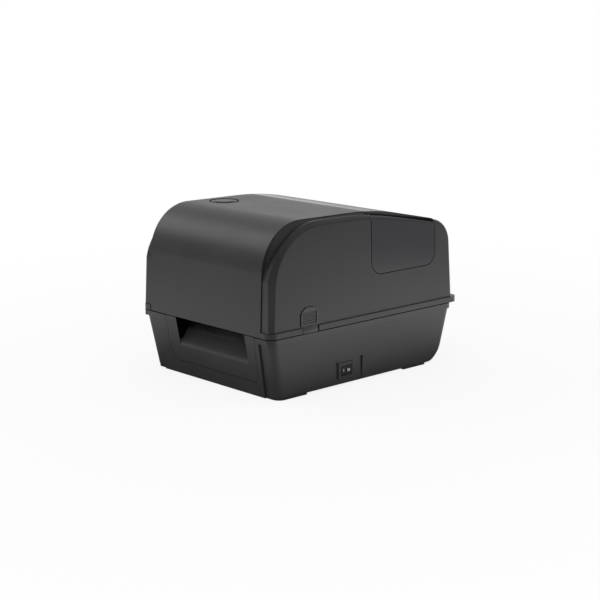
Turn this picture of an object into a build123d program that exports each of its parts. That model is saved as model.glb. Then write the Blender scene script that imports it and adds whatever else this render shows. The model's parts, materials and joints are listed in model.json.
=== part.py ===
from build123d import *
from math import acos, atan2, cos, degrees, pi, radians, sin, sqrt, tan
import os

os.makedirs("parts", exist_ok=True)

# Desktop label printer with a hinged clamshell cover.
# Millimetres. +X is the printer's right, the front faces -Y, +Z is up.
# The origin is at the middle of the footprint, on the table.

# Overall
half_width = 107.0
front_y = -144.0
rim_rear_y = 143.5
part_z = 67.0
part_gap = 0.3
run_clear = 0.3
pin_clear = 0.05
seat_clear = 0.1

# Base housing
base_wall = 2.5
rim_proud = 2.0
rim_height = 6.0
rim_corner = 10.0
body_half = half_width - rim_proud
side_draft = 0.05
front_draft = 14.0 / 67.0
rear_draft = 0.235
underside_z = 2.0
trim_depth = 5.0
base_rear_y = 134.5
base_rear_top = 64.4
base_rear_radius = 30.0
post_radius = 9.0
overrun = 20.0
crease_top = 87.5
crease_bottom = 83.0
floor_z = underside_z + base_wall

# Front bezel and label slot
bezel_left = -64.0
bezel_right = 82.0
bezel_right_low = 77.0
bezel_left_low = -66.0
bezel_bottom = 16.5
bezel_thick = 2.6
bezel_groove = 0.5
bezel_radius_left = 15.0
bezel_radius_right = 7.0
slot_left = -46.5
slot_right = 66.5
slot_sill = 39.0
slot_mid = (slot_left + slot_right) / 2
ramp_thick = 2.2
ramp_top = (-121.5, 58.0)
sill_radius = 9.0

# Lid
lid_wall = 2.4
panel_thick = 2.2
lid_z = part_z + part_gap
lid_rim_top = 73.5
side_lean = 0.03
side_top_half = 105.0
band_half = 91.5
ridge_half = 96.8
channel_depth = 3.2
edge_round = 4.8
band_corners = [(-144.1, 47.0), (-140.0, 184.0), (20.0, 183.0), (130.6, 160.0), (136.5, 47.0)]
band_radii = [52.0, 350.0, 28.0]
cheek_corners = [(-141.6, 47.0), (-134.0, 181.5), (10.0, 180.0), (130.6, 160.0), (136.5, 47.0)]
cheek_radii = [67.0, 300.0, 28.0]

# Window over the rear of the lid
window_front = 5.0
window_rear = 106.0
window_low = 114.5
window_thick = 1.8
window_radius = 15.0
window_ledge = 7.0
window_gap = 0.25

# Lid hinge
hinge_y = 137.0
hinge_z = 69.5
hinge_lug_radius = 4.6
hinge_pin_radius = 1.5
hinge_lug_centre = 78.0
hinge_lug_length = 9.0
hinge_knuckle_length = 7.0


def outline(corners, radii, inset=0.0):
    """A closed outline through rounded corners, drawn in by inset."""
    with BuildLine() as line:
        run = FilletPolyline(*corners, radius=radii)
        Line(run @ 1, run @ 0)
    make_face(line.edges())
    if inset:
        offset(amount=-inset, kind=Kind.INTERSECTION)


def front_plane_y(z, back=0.0):
    """The y of the sloping front face at height z, moved inwards by back."""
    return front_y + (part_z - z) * front_draft + back


def base_side_y(z):
    """Half the width of the base's sloping side at height z."""
    return body_half - (part_z - z) * side_draft


def lid_side_x(z):
    """Half the width of the lid's leaning side at height z."""
    return side_top_half - (z - lid_rim_top) * side_lean


# Base housing: a drafted tub, trimmed at the underside and at the parting plane
def base_form(inset):
    """The tub's form without its rim, taller than it needs to be."""
    low = underside_z - trim_depth
    high = part_z + overrun
    corners = [
        (front_plane_y(high, rim_proud), high),
        (front_plane_y(low, rim_proud), low),
        (base_rear_y - (base_rear_top - low) * rear_draft, low),
        (base_rear_y + (high - base_rear_top) * rear_draft, high),
    ]
    with BuildPart() as form:
        with BuildSketch(Plane.YZ):
            outline(corners, [post_radius, base_rear_radius], inset)
        extrude(amount=half_width, both=True)
        with BuildSketch(Plane.XZ):
            with BuildLine():
                Polyline(
                    (-base_side_y(low), low),
                    (base_side_y(low), low),
                    (base_side_y(high), high),
                    (-base_side_y(high), high),
                    close=True,
                )
            make_face()
            if inset:
                offset(amount=-inset, kind=Kind.INTERSECTION)
        extrude(amount=2 * rim_rear_y, both=True, mode=Mode.INTERSECT)
        outer = form.edges().filter_by(lambda e: abs(e.center().X) > band_half)
        chain = outer.filter_by(lambda e: e.center().Z < high - overrun)
        fillet(chain.filter_by(lambda e: abs((e @ 1).X - (e @ 0).X) < rim_corner), post_radius - inset)
    return form.part


base_outer = base_form(0.0)
base_cavity = base_form(base_wall)

# The middle of the front stands proud of the corner posts, between two creases
with BuildPart() as front_block:
    block_back = rim_proud + base_wall
    with BuildSketch(Plane.YZ):
        with BuildLine():
            Polyline(
                (front_plane_y(underside_z), underside_z),
                (front_plane_y(part_z), part_z),
                (front_plane_y(part_z, block_back), part_z),
                (front_plane_y(underside_z, block_back), underside_z),
                close=True,
            )
        make_face()
    extrude(amount=half_width, both=True)
    with BuildSketch(Plane.XZ):
        with BuildLine():
            Polyline(
                (-crease_bottom, underside_z),
                (crease_bottom, underside_z),
                (crease_top, part_z),
                (-crease_top, part_z),
                close=True,
            )
        make_face()
    extrude(amount=2 * rim_rear_y, both=True, mode=Mode.INTERSECT)

# Feet, screw columns and the things that the housing is cut for
pad_z = 0.8
pad_inset = 4.0
front_pad = (-126.0, -88.0)
rear_pad = (59.6, 94.9)
foot_radius = 7.0
foot_x = 84.0
foot_front_y = -107.0
foot_rear_y = 77.0
foot_top = pad_z + 0.8
deck_z = 36.0
deck_thick = 2.0
column_radius = 4.0
pilot_radius = 1.3
column_x = 90.0
column_front_y = -78.0
column_rear_y = 98.0
screw_radius = 1.25
screw_head_radius = 2.8
screw_head_height = 1.8
screw_length = 12.0

# Latch tabs on the lid, and the ledges for their hooks
latch_y = (-100.0, -76.0)
latch_top = 94.2
latch_gap = 0.5
latch_mid_y = sum(latch_y) / 2
latch_half = (latch_y[1] - latch_y[0]) / 2
latch_round = latch_half - 2.0
latch_thick = 3.0
latch_grip_z = 76.0
latch_pivot_z = 87.0
latch_pin_radius = 1.5
latch_rib_pitch = 2.4
latch_rib_depth = 0.5
catch_z = (60.0, 62.0)
catch_depth = 1.2
catch_inset = 4.0
hook_depth = 2.4
ear_depth = 3.0
ear_half = 3.75
latch_inset = 2.0
hook_inset = 6.0
hook_low_z = 57.0
hook_plate = 3.0

# Power switch on the right side
switch_y = (-41.0, -20.0)
switch_z = (8.5, 24.0)
switch_face_x = 101.0
recess_y = (-48.0, -7.0)
recess_top = 29.0
recess_fade_y = -43.5
switch_pad_depth = 3.2
switch_mid_y = sum(switch_y) / 2
switch_mid_z = sum(switch_z) / 2

# Rear wall: socket panel and fan-fold slot
panel_x = (-88.0, -22.0)
panel_z = (13.0, 33.0)
panel_y = 116.0
panel_wall = 2.0
panel_plate = 1.0
fanfold_z = (50.0, 57.0)
fanfold_x = (slot_left - 2.0, slot_right + 2.0)


# Circuit board on standoffs, with its sockets in the rear panel
board_x = (-84.0, 40.0)
board_y = (-20.0, 108.0)
board_z = floor_z + 7.0
board_thick = 1.6
board_top = board_z + board_thick
standoff_radius = 3.0
standoff_inset = 8.0
standoff_rear_inset = 20.0
socket_face_y = panel_y + 0.6
socket_depth = 17.0
dc_x = -77.0
usb_x = -57.0
network_x = -35.0
dc_size = (14.0, 11.0)
usb_size = (12.0, 11.0)
network_size = (16.0, 13.5)


def standoff_places(z):
    """The four board fixings."""
    return [
        (x, y, z)
        for x in (board_x[0] + standoff_inset, board_x[1] - standoff_inset)
        for y in (board_y[0] + standoff_inset, board_y[1] - standoff_rear_inset)
    ]


def block(x, y, z, mode=Mode.ADD):
    """A box between two corners, given as three spans."""
    middle = ((x[0] + x[1]) / 2, (y[0] + y[1]) / 2, (z[0] + z[1]) / 2)
    with Locations(middle):
        Box(abs(x[1] - x[0]), abs(y[1] - y[0]), abs(z[1] - z[0]), mode=mode)


def layer(low, high, mode):
    """A slab as wide as the whole printer, between two heights."""
    block((-2 * half_width, 2 * half_width), (-2 * rim_rear_y, 2 * rim_rear_y), (low, high), mode)


def foot_places(z):
    """The middles of the four feet."""
    return [(x, y, z) for x in (-foot_x, foot_x) for y in (foot_front_y, foot_rear_y)]


def column_places(z):
    """The middles of the four columns that carry the deck."""
    return [(x, y, z) for x in (-column_x, column_x) for y in (column_front_y, column_rear_y)]


def bezel_outline(grow):
    """The front panel's outline, seen from the front."""
    corners = [
        (bezel_left - grow, part_z + rim_height),
        (bezel_left_low - grow, bezel_bottom - grow),
        (bezel_right_low + grow, bezel_bottom - grow),
        (bezel_right + grow, part_z + rim_height),
    ]
    outline(corners, [bezel_radius_left + grow, bezel_radius_right + grow])


def front_slab(depth_from, depth_to):
    """A sloping slab between two depths behind the front plane, over the front's width."""
    with BuildPart() as slab:
        with BuildSketch(Plane.YZ):
            with BuildLine():
                Polyline(
                    (front_plane_y(underside_z, depth_from), underside_z),
                    (front_plane_y(part_z, depth_from), part_z),
                    (front_plane_y(part_z, depth_to), part_z),
                    (front_plane_y(underside_z, depth_to), underside_z),
                    close=True,
                )
            make_face()
        extrude(amount=half_width, both=True)
    return slab.part


def bezel_slab(depth, grow):
    """The part of the sloping slab that lies inside the front panel's outline."""
    with BuildPart() as plate:
        with BuildSketch(Plane.XZ):
            bezel_outline(grow)
        extrude(amount=2 * rim_rear_y, both=True)
        add(front_slab(-run_clear if grow else 0.0, depth), mode=Mode.INTERSECT)
    return plate.part


bezel_pocket = bezel_slab(bezel_thick + seat_clear, bezel_groove)
bezel_plate = bezel_slab(bezel_thick, 0.0)
slot_cut_x = (slot_left - bezel_thick - run_clear, slot_right + bezel_thick + run_clear)

with BuildPart() as base_hollow:
    add(base_cavity)
    layer(floor_z, part_z + overrun, Mode.INTERSECT)

with BuildPart() as base_housing:
    add(base_outer)
    layer(underside_z, part_z, Mode.INTERSECT)
    # Rim band, cut to the slope of the front
    rim_mid_y = (front_y + base_rear_y) / 2
    with BuildSketch(Plane.XY.offset(part_z - rim_height)):
        with Locations((0, rim_mid_y)):
            RectangleRounded(2 * half_width, base_rear_y - front_y, rim_corner)
    extrude(amount=rim_height)
    add(front_slab(-rim_corner, 0.0), mode=Mode.SUBTRACT)
    add(front_block.part)
    # Moulded foot pads
    for pad in (front_pad, rear_pad):
        for side in (-1, 1):
            pad_x = sorted((side * (foot_x - 2 * foot_radius), side * (base_side_y(underside_z) - pad_inset)))
            block(pad_x, pad, (pad_z, underside_z))
    with Locations(*foot_places(pad_z)):
        Cylinder(foot_radius + seat_clear, 2 * (foot_top - pad_z), mode=Mode.SUBTRACT)
    # Inside
    add(base_hollow.part, mode=Mode.SUBTRACT)
    rear_y = (base_rear_y - 2 * base_wall, rim_rear_y)
    block((-half_width, half_width), rear_y, (base_rear_top, part_z + 1), Mode.SUBTRACT)
    # Columns for the deck
    for place in column_places(floor_z):
        with Locations(place):
            Cylinder(column_radius, deck_z - floor_z, align=(Align.CENTER, Align.CENTER, Align.MIN))
            Cylinder(pilot_radius, deck_z, align=(Align.CENTER, Align.CENTER, Align.MIN), mode=Mode.SUBTRACT)
    # Standoffs for the circuit board
    for place in standoff_places(floor_z):
        with Locations(place):
            Cylinder(standoff_radius, board_z - floor_z, align=(Align.CENTER, Align.CENTER, Align.MIN))
            Cylinder(pilot_radius, board_z, align=(Align.CENTER, Align.CENTER, Align.MIN), mode=Mode.SUBTRACT)
    # Ledges that the lid's latches hook under
    for side in (-1, 1):
        wall_x = side * (base_side_y(catch_z[0]) - base_wall)
        catch_x = sorted((wall_x - side * catch_depth, wall_x + side * base_wall / 2))
        block(catch_x, (latch_y[0] + catch_inset, latch_y[1] - catch_inset), catch_z)
    # Front panel's pocket and the label slot behind it
    add(bezel_pocket, mode=Mode.SUBTRACT)
    block(slot_cut_x, (front_y, ramp_top[0]), (slot_sill - sill_radius, part_z + 1), Mode.SUBTRACT)
    # Switch: a thicker wall, a recess that fades out to the front, and the hole
    block(
        (switch_face_x - switch_pad_depth, switch_face_x),
        (recess_y[0], recess_y[1]),
        (floor_z, recess_top + base_wall),
    )
    with BuildSketch(Plane.XY.offset(underside_z)):
        with BuildLine():
            Polyline(
                (half_width, recess_y[0]),
                (base_side_y(recess_top), recess_y[0]),
                (switch_face_x, recess_fade_y),
                (switch_face_x, recess_y[1]),
                (half_width, recess_y[1]),
                close=True,
            )
        make_face()
    extrude(amount=recess_top - underside_z, mode=Mode.SUBTRACT)
    block((switch_face_x - 2 * switch_pad_depth, half_width), switch_y, switch_z, Mode.SUBTRACT)
    # Rear wall: a pocket for the socket panel, and the fan-fold slot
    block(
        (panel_x[0] - panel_wall, panel_x[1] + panel_wall),
        (panel_y - panel_wall - panel_plate, panel_y + panel_wall),
        (panel_z[0] - panel_wall, panel_z[1] + panel_wall),
    )
    block(panel_x, (panel_y - panel_plate, rim_rear_y), panel_z, Mode.SUBTRACT)
    block(
        (dc_x - dc_size[0] / 2 - seat_clear, network_x + network_size[0] / 2 + seat_clear),
        (panel_y - 2 * panel_wall - panel_plate, panel_y),
        (board_top - seat_clear, board_top + network_size[1] + seat_clear),
        Mode.SUBTRACT,
    )
    block(fanfold_x, (base_rear_y - 8 * base_wall, rim_rear_y), fanfold_z, Mode.SUBTRACT)
    # Hinge lugs
    for side in (-1, 1):
        lug_mid = side * hinge_lug_centre
        with BuildSketch(Plane.YZ.offset(lug_mid)):
            with BuildLine():
                Polyline(
                    (base_rear_y - 2 * base_wall, base_rear_top - rim_height),
                    (base_rear_y - (base_rear_top - fanfold_z[0]) * rear_draft, fanfold_z[0]),
                    (hinge_y + hinge_lug_radius, hinge_z),
                    (hinge_y - hinge_lug_radius, hinge_z),
                    close=True,
                )
            make_face()
            with Locations((hinge_y, hinge_z)):
                Circle(hinge_lug_radius)
                Circle(hinge_pin_radius, mode=Mode.SUBTRACT)
        extrude(amount=hinge_lug_length / 2, both=True)

with BuildPart() as front_bezel:
    add(bezel_plate)
    slot_z = (slot_sill - sill_radius, part_z + 1)
    block((slot_left, slot_right), (front_y, ramp_top[0]), slot_z, Mode.SUBTRACT)
    # The sill turns inwards and becomes the ramp
    with BuildSketch(Plane.YZ.offset(slot_left - bezel_thick)):
        foot_of_sill = slot_sill - 2 * sill_radius
        with BuildLine():
            run = FilletPolyline(
                (front_plane_y(foot_of_sill), foot_of_sill),
                (front_plane_y(slot_sill), slot_sill),
                ramp_top,
                radius=sill_radius,
            )
            offset(run, amount=bezel_thick, side=Side.RIGHT)
        make_face()
    extrude(amount=slot_right - slot_left + 2 * bezel_thick)
    for inner in (slot_left - bezel_thick, slot_right):
        with BuildSketch(Plane.YZ.offset(inner)):
            with BuildLine():
                Polyline(
                    (front_plane_y(part_z, bezel_thick), part_z),
                    (front_plane_y(slot_sill, bezel_thick), slot_sill),
                    ramp_top,
                    (ramp_top[0], part_z),
                    close=True,
                )
            make_face()
        extrude(amount=bezel_thick)

with BuildPart() as rubber_feet:
    for place in foot_places(0):
        with Locations(place):
            Cylinder(foot_radius, foot_top, align=(Align.CENTER, Align.CENTER, Align.MIN))

# Feed button and the lid's seams
button_x = -65.0
button_y = -58.0
ring_radius = 16.5
ring_width = 5.7
button_radius = ring_radius - ring_width - run_clear
button_travel = 1.2
button_stem_radius = 4.0
button_proud = 0.5
lid_inset = panel_thick + lid_wall
cheek_wall = channel_depth + lid_wall
seam = 0.35
rest_low = part_z - overrun


def lid_lean(inset):
    """The leaning sides, as one wide prism that trims the cheeks."""
    high = band_corners[1][1] + overrun
    with BuildPart() as lean:
        with BuildSketch(Plane.XZ):
            with BuildLine():
                Polyline(
                    (-lid_side_x(rest_low) + inset, rest_low),
                    (lid_side_x(rest_low) - inset, rest_low),
                    (lid_side_x(high) - inset, high),
                    (-lid_side_x(high) + inset, high),
                    close=True,
                )
            make_face()
        extrude(amount=2 * rim_rear_y, both=True)
    return lean.part


def lid_slab(corners, radii, inset, x_from, x_to):
    """A side outline of the lid, extruded across from one x to another."""
    with BuildPart() as slab:
        with BuildSketch(Plane.YZ.offset(x_from)):
            outline(corners, radii, inset)
        extrude(amount=x_to - x_from)
    return slab.part


def lid_channel(side, inset):
    """The hollow slope between the band's wall and the cheek's ridge."""
    with BuildPart() as slope:
        with BuildSketch(Plane.YZ.offset(side * (band_half - inset))):
            outline(cheek_corners, cheek_radii, channel_depth + inset)
        with BuildSketch(Plane.YZ.offset(side * ridge_half)):
            outline(cheek_corners, cheek_radii, seat_clear + inset)
        loft(ruled=True)
    return slope.part


def lid_cheek(side, inset):
    """The outer part of a cheek, with its leaning side and rounded edge."""
    with BuildPart() as cheek:
        with BuildSketch(Plane.YZ.offset(side * ridge_half)):
            outline(cheek_corners, cheek_radii, inset)
        extrude(amount=side * (half_width - ridge_half))
        add(lid_lean(inset), mode=Mode.INTERSECT)
        outer = cheek.faces().sort_by(Axis.X)[-1 if side > 0 else 0]
        bottom = outer.edges().sort_by(Axis.Z)[0].center()
        fillet([e for e in outer.edges() if e.center() != bottom], edge_round - inset)
    return cheek.part


def lid_body(inset, low):
    """The lid's whole form, drawn in by inset and cut off at low."""
    with BuildPart() as body:
        add(lid_slab(band_corners, band_radii, inset, inset - band_half, band_half - inset))
        for side in (-1, 1):
            add(lid_channel(side, inset))
            add(lid_cheek(side, inset))
        layer(low, 2 * rim_rear_y, Mode.INTERSECT)
    return body.part


def window_prism(grow):
    """The window's side outline, extruded across the whole lid."""
    high = band_corners[1][1] + overrun
    with BuildPart() as prism:
        with BuildSketch(Plane.YZ):
            outline(
                [
                    (window_front - grow, high),
                    (window_front - grow, window_low - grow),
                    (window_rear + grow, window_low - grow),
                    (window_rear + grow, high),
                ],
                [window_radius + grow, window_radius + grow],
            )
        extrude(amount=2 * half_width, both=True)
    return prism.part


def latch_outline(grow):
    """The arch-topped outline of a latch tab, seen from the side."""
    low = lid_z - rim_height if grow else lid_z - part_gap / 2
    outline(
        [
            (latch_y[0] - grow, low),
            (latch_y[0] - grow, latch_top + grow),
            (latch_y[1] + grow, latch_top + grow),
            (latch_y[1] + grow, low),
        ],
        [latch_round + grow, latch_round + grow],
    )


with BuildPart() as lid_window:
    add(lid_body(0.0, lid_z))
    add(lid_body(window_thick, rest_low), mode=Mode.SUBTRACT)
    add(window_prism(0.0), mode=Mode.INTERSECT)

with BuildPart() as lid_panel:
    add(lid_slab(band_corners, band_radii, 0.0, seam - band_half, band_half - seam))
    add(lid_slab(band_corners, band_radii, panel_thick, -half_width, half_width), mode=Mode.SUBTRACT)
    layer(lid_z, 2 * rim_rear_y, Mode.INTERSECT)
    behind_y = (window_front - window_gap, 2 * rim_rear_y)
    block((-half_width, half_width), behind_y, (0, 2 * rim_rear_y), Mode.SUBTRACT)
    with Locations((button_x, button_y, band_corners[1][1])):
        Cylinder(ring_radius + seat_clear, 4 * panel_thick, mode=Mode.SUBTRACT)

# What the shell gives up to the window: a rebate as deep as the window, then an opening inside its ledge
with BuildPart() as window_rebate:
    add(window_prism(window_gap))
    add(lid_body(window_thick + seat_clear, rest_low), mode=Mode.SUBTRACT)

# What the shell gives up to the panel
with BuildPart() as panel_rebate:
    add(lid_slab(band_corners, band_radii, -lid_wall, -band_half, band_half))
    add(
        lid_slab(band_corners, band_radii, panel_thick + seat_clear, -half_width, half_width),
        mode=Mode.SUBTRACT,
    )
    block((-half_width, half_width), (window_front, 2 * rim_rear_y), (0, 2 * rim_rear_y), Mode.SUBTRACT)

with BuildPart() as lid_hollow:
    add(lid_slab(cheek_corners, cheek_radii, cheek_wall, -half_width, half_width))
    add(lid_lean(lid_wall), mode=Mode.INTERSECT)
    add(lid_slab(band_corners, band_radii, lid_inset, lid_wall - band_half, band_half - lid_wall))

with BuildPart() as lid_shell:
    add(lid_body(0.0, lid_z))
    # Rim band along the sides and round the corners
    with BuildSketch(Plane.XY.offset(lid_z)):
        with Locations((0, (front_y + rim_rear_y) / 2)):
            RectangleRounded(2 * half_width, rim_rear_y - front_y, rim_corner)
    extrude(amount=lid_rim_top - lid_z)
    block((-band_half, band_half), (2 * front_y, front_y + rim_corner), (0, part_z + overrun), Mode.SUBTRACT)
    add(panel_rebate.part, mode=Mode.SUBTRACT)
    add(window_rebate.part, mode=Mode.SUBTRACT)
    add(window_prism(-window_ledge), mode=Mode.SUBTRACT)
    add(lid_hollow.part, mode=Mode.SUBTRACT)
    # Arch notches for the latch tabs
    with BuildSketch(Plane.YZ):
        latch_outline(latch_gap)
    extrude(amount=2 * half_width, both=True, mode=Mode.SUBTRACT)
    # Ears that hold the latch tabs' pins
    for side in (-1, 1):
        pin_x = side * (lid_side_x(lid_rim_top) - latch_thick)
        ear_x = sorted((pin_x - side * 2 * latch_pin_radius, pin_x + side * latch_pin_radius))
        for end in (-1, 1):
            ear_y = latch_mid_y + end * (latch_half + latch_gap)
            block(ear_x, (ear_y, ear_y + end * ear_depth), (latch_pivot_z - ear_half, latch_pivot_z + ear_half))
        with Locations((pin_x, latch_mid_y, latch_pivot_z)):
            Cylinder(
                latch_pin_radius,
                2 * (latch_half + latch_gap + ear_depth),
                rotation=(90, 0, 0),
                mode=Mode.SUBTRACT,
            )
    # Room for the button's stem
    with Locations((button_x, button_y, band_corners[1][1])):
        Cylinder(button_stem_radius + run_clear, 8 * lid_inset, mode=Mode.SUBTRACT)
    # Hinge: notches for the base's lugs, and a knuckle on each side of them
    for side in (-1, 1):
        with Locations((side * hinge_lug_centre, hinge_y, hinge_z)):
            Cylinder(
                2 * hinge_lug_radius,
                hinge_lug_length + 2 * run_clear,
                rotation=(0, 90, 0),
                mode=Mode.SUBTRACT,
            )
        for end in (-1, 1):
            knuckle_off = hinge_lug_length / 2 + run_clear + hinge_knuckle_length / 2
            knuckle_mid = side * hinge_lug_centre + end * knuckle_off
            with Locations((knuckle_mid, hinge_y, hinge_z)):
                Cylinder(hinge_lug_radius, hinge_knuckle_length, rotation=(0, 90, 0))
                Cylinder(
                    hinge_pin_radius + pin_clear,
                    hinge_knuckle_length,
                    rotation=(0, 90, 0),
                    mode=Mode.SUBTRACT,
                )

with BuildPart() as hinge_pins:
    for side in (-1, 1):
        with Locations((side * hinge_lug_centre, hinge_y, hinge_z)):
            Cylinder(hinge_pin_radius, hinge_lug_length + 2 * hinge_knuckle_length, rotation=(0, 90, 0))

# Feed button and its ring, on the lid's top
lid_top_z = band_corners[1][1] + (button_y - band_corners[1][0]) / (
    band_corners[2][0] - band_corners[1][0]
) * (band_corners[2][1] - band_corners[1][1])

with BuildPart() as feed_ring:
    with Locations((button_x, button_y, lid_top_z - panel_thick)):
        Cylinder(ring_radius, panel_thick, align=(Align.CENTER, Align.CENTER, Align.MIN))
        Cylinder(
            button_radius + run_clear,
            panel_thick,
            align=(Align.CENTER, Align.CENTER, Align.MIN),
            mode=Mode.SUBTRACT,
        )
    chamfer(feed_ring.edges().group_by(Axis.Z)[-1], seam)

with BuildPart() as feed_button:
    with Locations((button_x, button_y, lid_top_z + button_proud)):
        Cylinder(
            button_radius,
            panel_thick - button_travel + button_proud,
            align=(Align.CENTER, Align.CENTER, Align.MAX),
        )
    fillet(feed_button.edges().group_by(Axis.Z)[-1], seam)
    with Locations((button_x, button_y, lid_top_z)):
        Cylinder(
            button_stem_radius,
            lid_inset + 2 * button_travel,
            align=(Align.CENTER, Align.CENTER, Align.MAX),
        )


def latch_tab(side):
    """A latch tab: an arched plate with grip ribs above, a bevel below and a pivot barrel behind."""
    face = lid_side_x(lid_rim_top)
    with BuildPart() as tab:
        with BuildSketch(Plane.YZ.offset(face - latch_thick)):
            latch_outline(0.0)
        extrude(amount=latch_thick + rim_proud / 2)
        # Outer face: leans with the lid above, bevelled below the grip
        with BuildSketch(Plane.XZ.offset(-latch_y[0] + latch_half)):
            with BuildLine():
                Polyline(
                    (face + latch_rib_depth, latch_top + 1),
                    (face + rim_proud / 2, latch_grip_z),
                    (face - latch_thick / 2, lid_z - part_gap),
                    (face + 2 * latch_thick, lid_z - part_gap),
                    (face + 2 * latch_thick, latch_top + 1),
                    close=True,
                )
            make_face()
        extrude(amount=8 * latch_half, both=True, mode=Mode.SUBTRACT)
        rib_length = 2 * (latch_half - latch_inset)
        rib_count = int((latch_top - latch_round / 2 - latch_grip_z) / latch_rib_pitch)
        for k in range(rib_count):
            rib_z = latch_grip_z + (k + 1) * latch_rib_pitch
            with Locations((face + rim_proud, latch_mid_y, rib_z)):
                Cylinder(rim_proud, rib_length, rotation=(90, 0, 0), mode=Mode.SUBTRACT)
        # Hook, reaching down past the ledge in the base
        hook_face = base_side_y(catch_z[0]) - base_wall - catch_depth - run_clear
        hook_y = (latch_y[0] + hook_inset, latch_y[1] - hook_inset)
        hook_top = lid_z + hook_plate + 1.0
        block((hook_face - hook_depth, hook_face), hook_y, (hook_low_z, hook_top))
        block((hook_face - hook_depth, face - latch_thick / 2), hook_y, (lid_z + 1.0, hook_top))
        # Pivot barrel behind the tab
        with Locations((face - latch_thick, latch_mid_y, latch_pivot_z)):
            Cylinder(2 * latch_pin_radius, rib_length, rotation=(90, 0, 0))
            Cylinder(
                latch_pin_radius + pin_clear,
                4 * latch_half,
                rotation=(90, 0, 0),
                mode=Mode.SUBTRACT,
            )
    if side < 0:
        return mirror(tab.part, about=Plane.YZ)
    return tab.part


with BuildPart() as latch_right:
    add(latch_tab(1))
with BuildPart() as latch_left:
    add(latch_tab(-1))

# Media bay tray, called the deck
deck_front_y = -126.0
deck_rear_y = 112.0
deck_half = 95.5
mech_x = (-68.0, 76.0)
mech_rear_y = -26.0
deck_corner = 8.0

# Print mechanism
frame_thick = 2.0
frame_left_x = -52.0
frame_right_x = 70.0
frame_front_y = -126.0
frame_rear_y = -30.0
platen_y = -111.5
platen_z = 53.5
platen_radius = 8.0
platen_shaft_radius = 3.0
platen_rubber = (-47.5, 67.5)
bush_radius = 4.5
bush_flange = 7.0
gear_face = 5.0
gear_module = 1.0
backlash = 0.16
addendum = 0.9
dedendum = 1.15
platen_teeth = 26
idler_teeth = 30
pinion_teeth = 14
gear_plane_x = frame_left_x - frame_thick - 6.0
pressure_angle = radians(20)

# Carriage that carries the printhead and the ribbon spindles
carriage_pivot = (-38.0, 96.0)
carriage_pin_radius = 3.0
carriage_arm = 2.0
arm_gap = 0.6
carriage_left_x = frame_left_x + arm_gap
carriage_right_x = frame_right_x - arm_gap
head_gap = 0.25
head_z = platen_z + platen_radius + head_gap
head_y = (-121.0, -101.0)
head_thick = 1.6
rewind_axis = (-96.0, 126.0)
supply_axis = (-56.0, 128.0)
spindle_radius = 11.0
spindle_shaft_radius = 3.0
rewind_teeth = 36
ribbon_pinion_teeth = 12
ribbon_module = 0.8


def involute_gear(teeth, module, phase):
    """A spur gear outline round the origin, with a tooth's middle at the angle phase, in radians."""
    pitch = teeth * module / 2
    base = pitch * cos(pressure_angle)
    tip = pitch + addendum * module
    root = pitch - dedendum * module
    half_tooth = pi / (2 * teeth) - backlash / (2 * pitch)

    def flank_angle(radius):
        """How far the flank at this radius lies from the tooth's middle."""
        alpha = acos(min(1.0, base / radius))
        return half_tooth + (tan(pressure_angle) - pressure_angle) - (tan(alpha) - alpha)

    start = max(base, root)
    radii = [root, start, pitch, tip] if base > root else [start, pitch, tip]
    points = []
    for k in range(teeth):
        middle = phase + 2 * pi * k / teeth
        rising = [(r, middle - flank_angle(max(r, base))) for r in radii]
        falling = [(r, middle + flank_angle(max(r, base))) for r in reversed(radii)]
        points += [(r * cos(a), r * sin(a)) for r, a in rising + falling]
    with BuildLine() as line:
        Polyline(*points, close=True)
    make_face(line.edges())


def direction(start, end):
    """The angle of the line from one axis to another, in the YZ plane."""
    return atan2(end[1] - start[1], end[0] - start[0])


def mesh_phase(angle, driver_teeth, driver_phase, teeth):
    """The phase of a gear that meshes with a driver which lies behind it along angle."""
    return angle + pi + pi / teeth + (angle - driver_phase) * driver_teeth / teeth


def centre_beside(start, angle_degrees, distance):
    """An axis at a distance from another, in the YZ plane."""
    a = radians(angle_degrees)
    return (start[0] + distance * cos(a), start[1] + distance * sin(a))


platen_axis = (platen_y, platen_z)
idler_axis = centre_beside(platen_axis, -28.0, gear_module * (platen_teeth + idler_teeth) / 2)
motor_axis = centre_beside(idler_axis, -38.0, gear_module * (idler_teeth + pinion_teeth) / 2)
platen_phase = direction(platen_axis, idler_axis)
idler_phase = mesh_phase(direction(platen_axis, idler_axis), platen_teeth, platen_phase, idler_teeth)
pinion_phase = mesh_phase(direction(idler_axis, motor_axis), idler_teeth, idler_phase, pinion_teeth)
ribbon_centres = ribbon_module * (rewind_teeth + ribbon_pinion_teeth) / 2
ribbon_pinion_axis = centre_beside(rewind_axis, 20.0, ribbon_centres)
rewind_phase = direction(rewind_axis, ribbon_pinion_axis)
ribbon_pinion_phase = mesh_phase(
    direction(rewind_axis, ribbon_pinion_axis), rewind_teeth, rewind_phase, ribbon_pinion_teeth
)


def disc(axis, x_from, x_to, radius, mode=Mode.ADD):
    """A cylinder along X between two x values, about an axis in the YZ plane."""
    with Locations(((x_from + x_to) / 2, axis[0], axis[1])):
        Cylinder(radius, abs(x_to - x_from), rotation=(0, 90, 0), mode=mode)


# Roll holders: two arms that slide apart on the deck, tied by racks to one pinion
roll_y = 50.0
roll_z = 104.0
holder_open = 59.0
holder_travel = 40.0
holder_plate = 4.0
holder_foot = (30.0, 70.0)
holder_foot_height = 8.0
flange_radius = 27.0
flange_thick = 3.0
stub_radius = 12.2
stub_length = 7.0
rack_module = 1.0
holder_teeth = 18
holder_pitch = rack_module * holder_teeth / 2
rack_height = 5.0
rack_back = 5.0
rack_past = 14.0
rack_top = deck_z - run_clear


def toward(side, distance):
    """An x at a distance from the middle of the slot, on one side of it."""
    return slot_mid + side * distance


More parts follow.
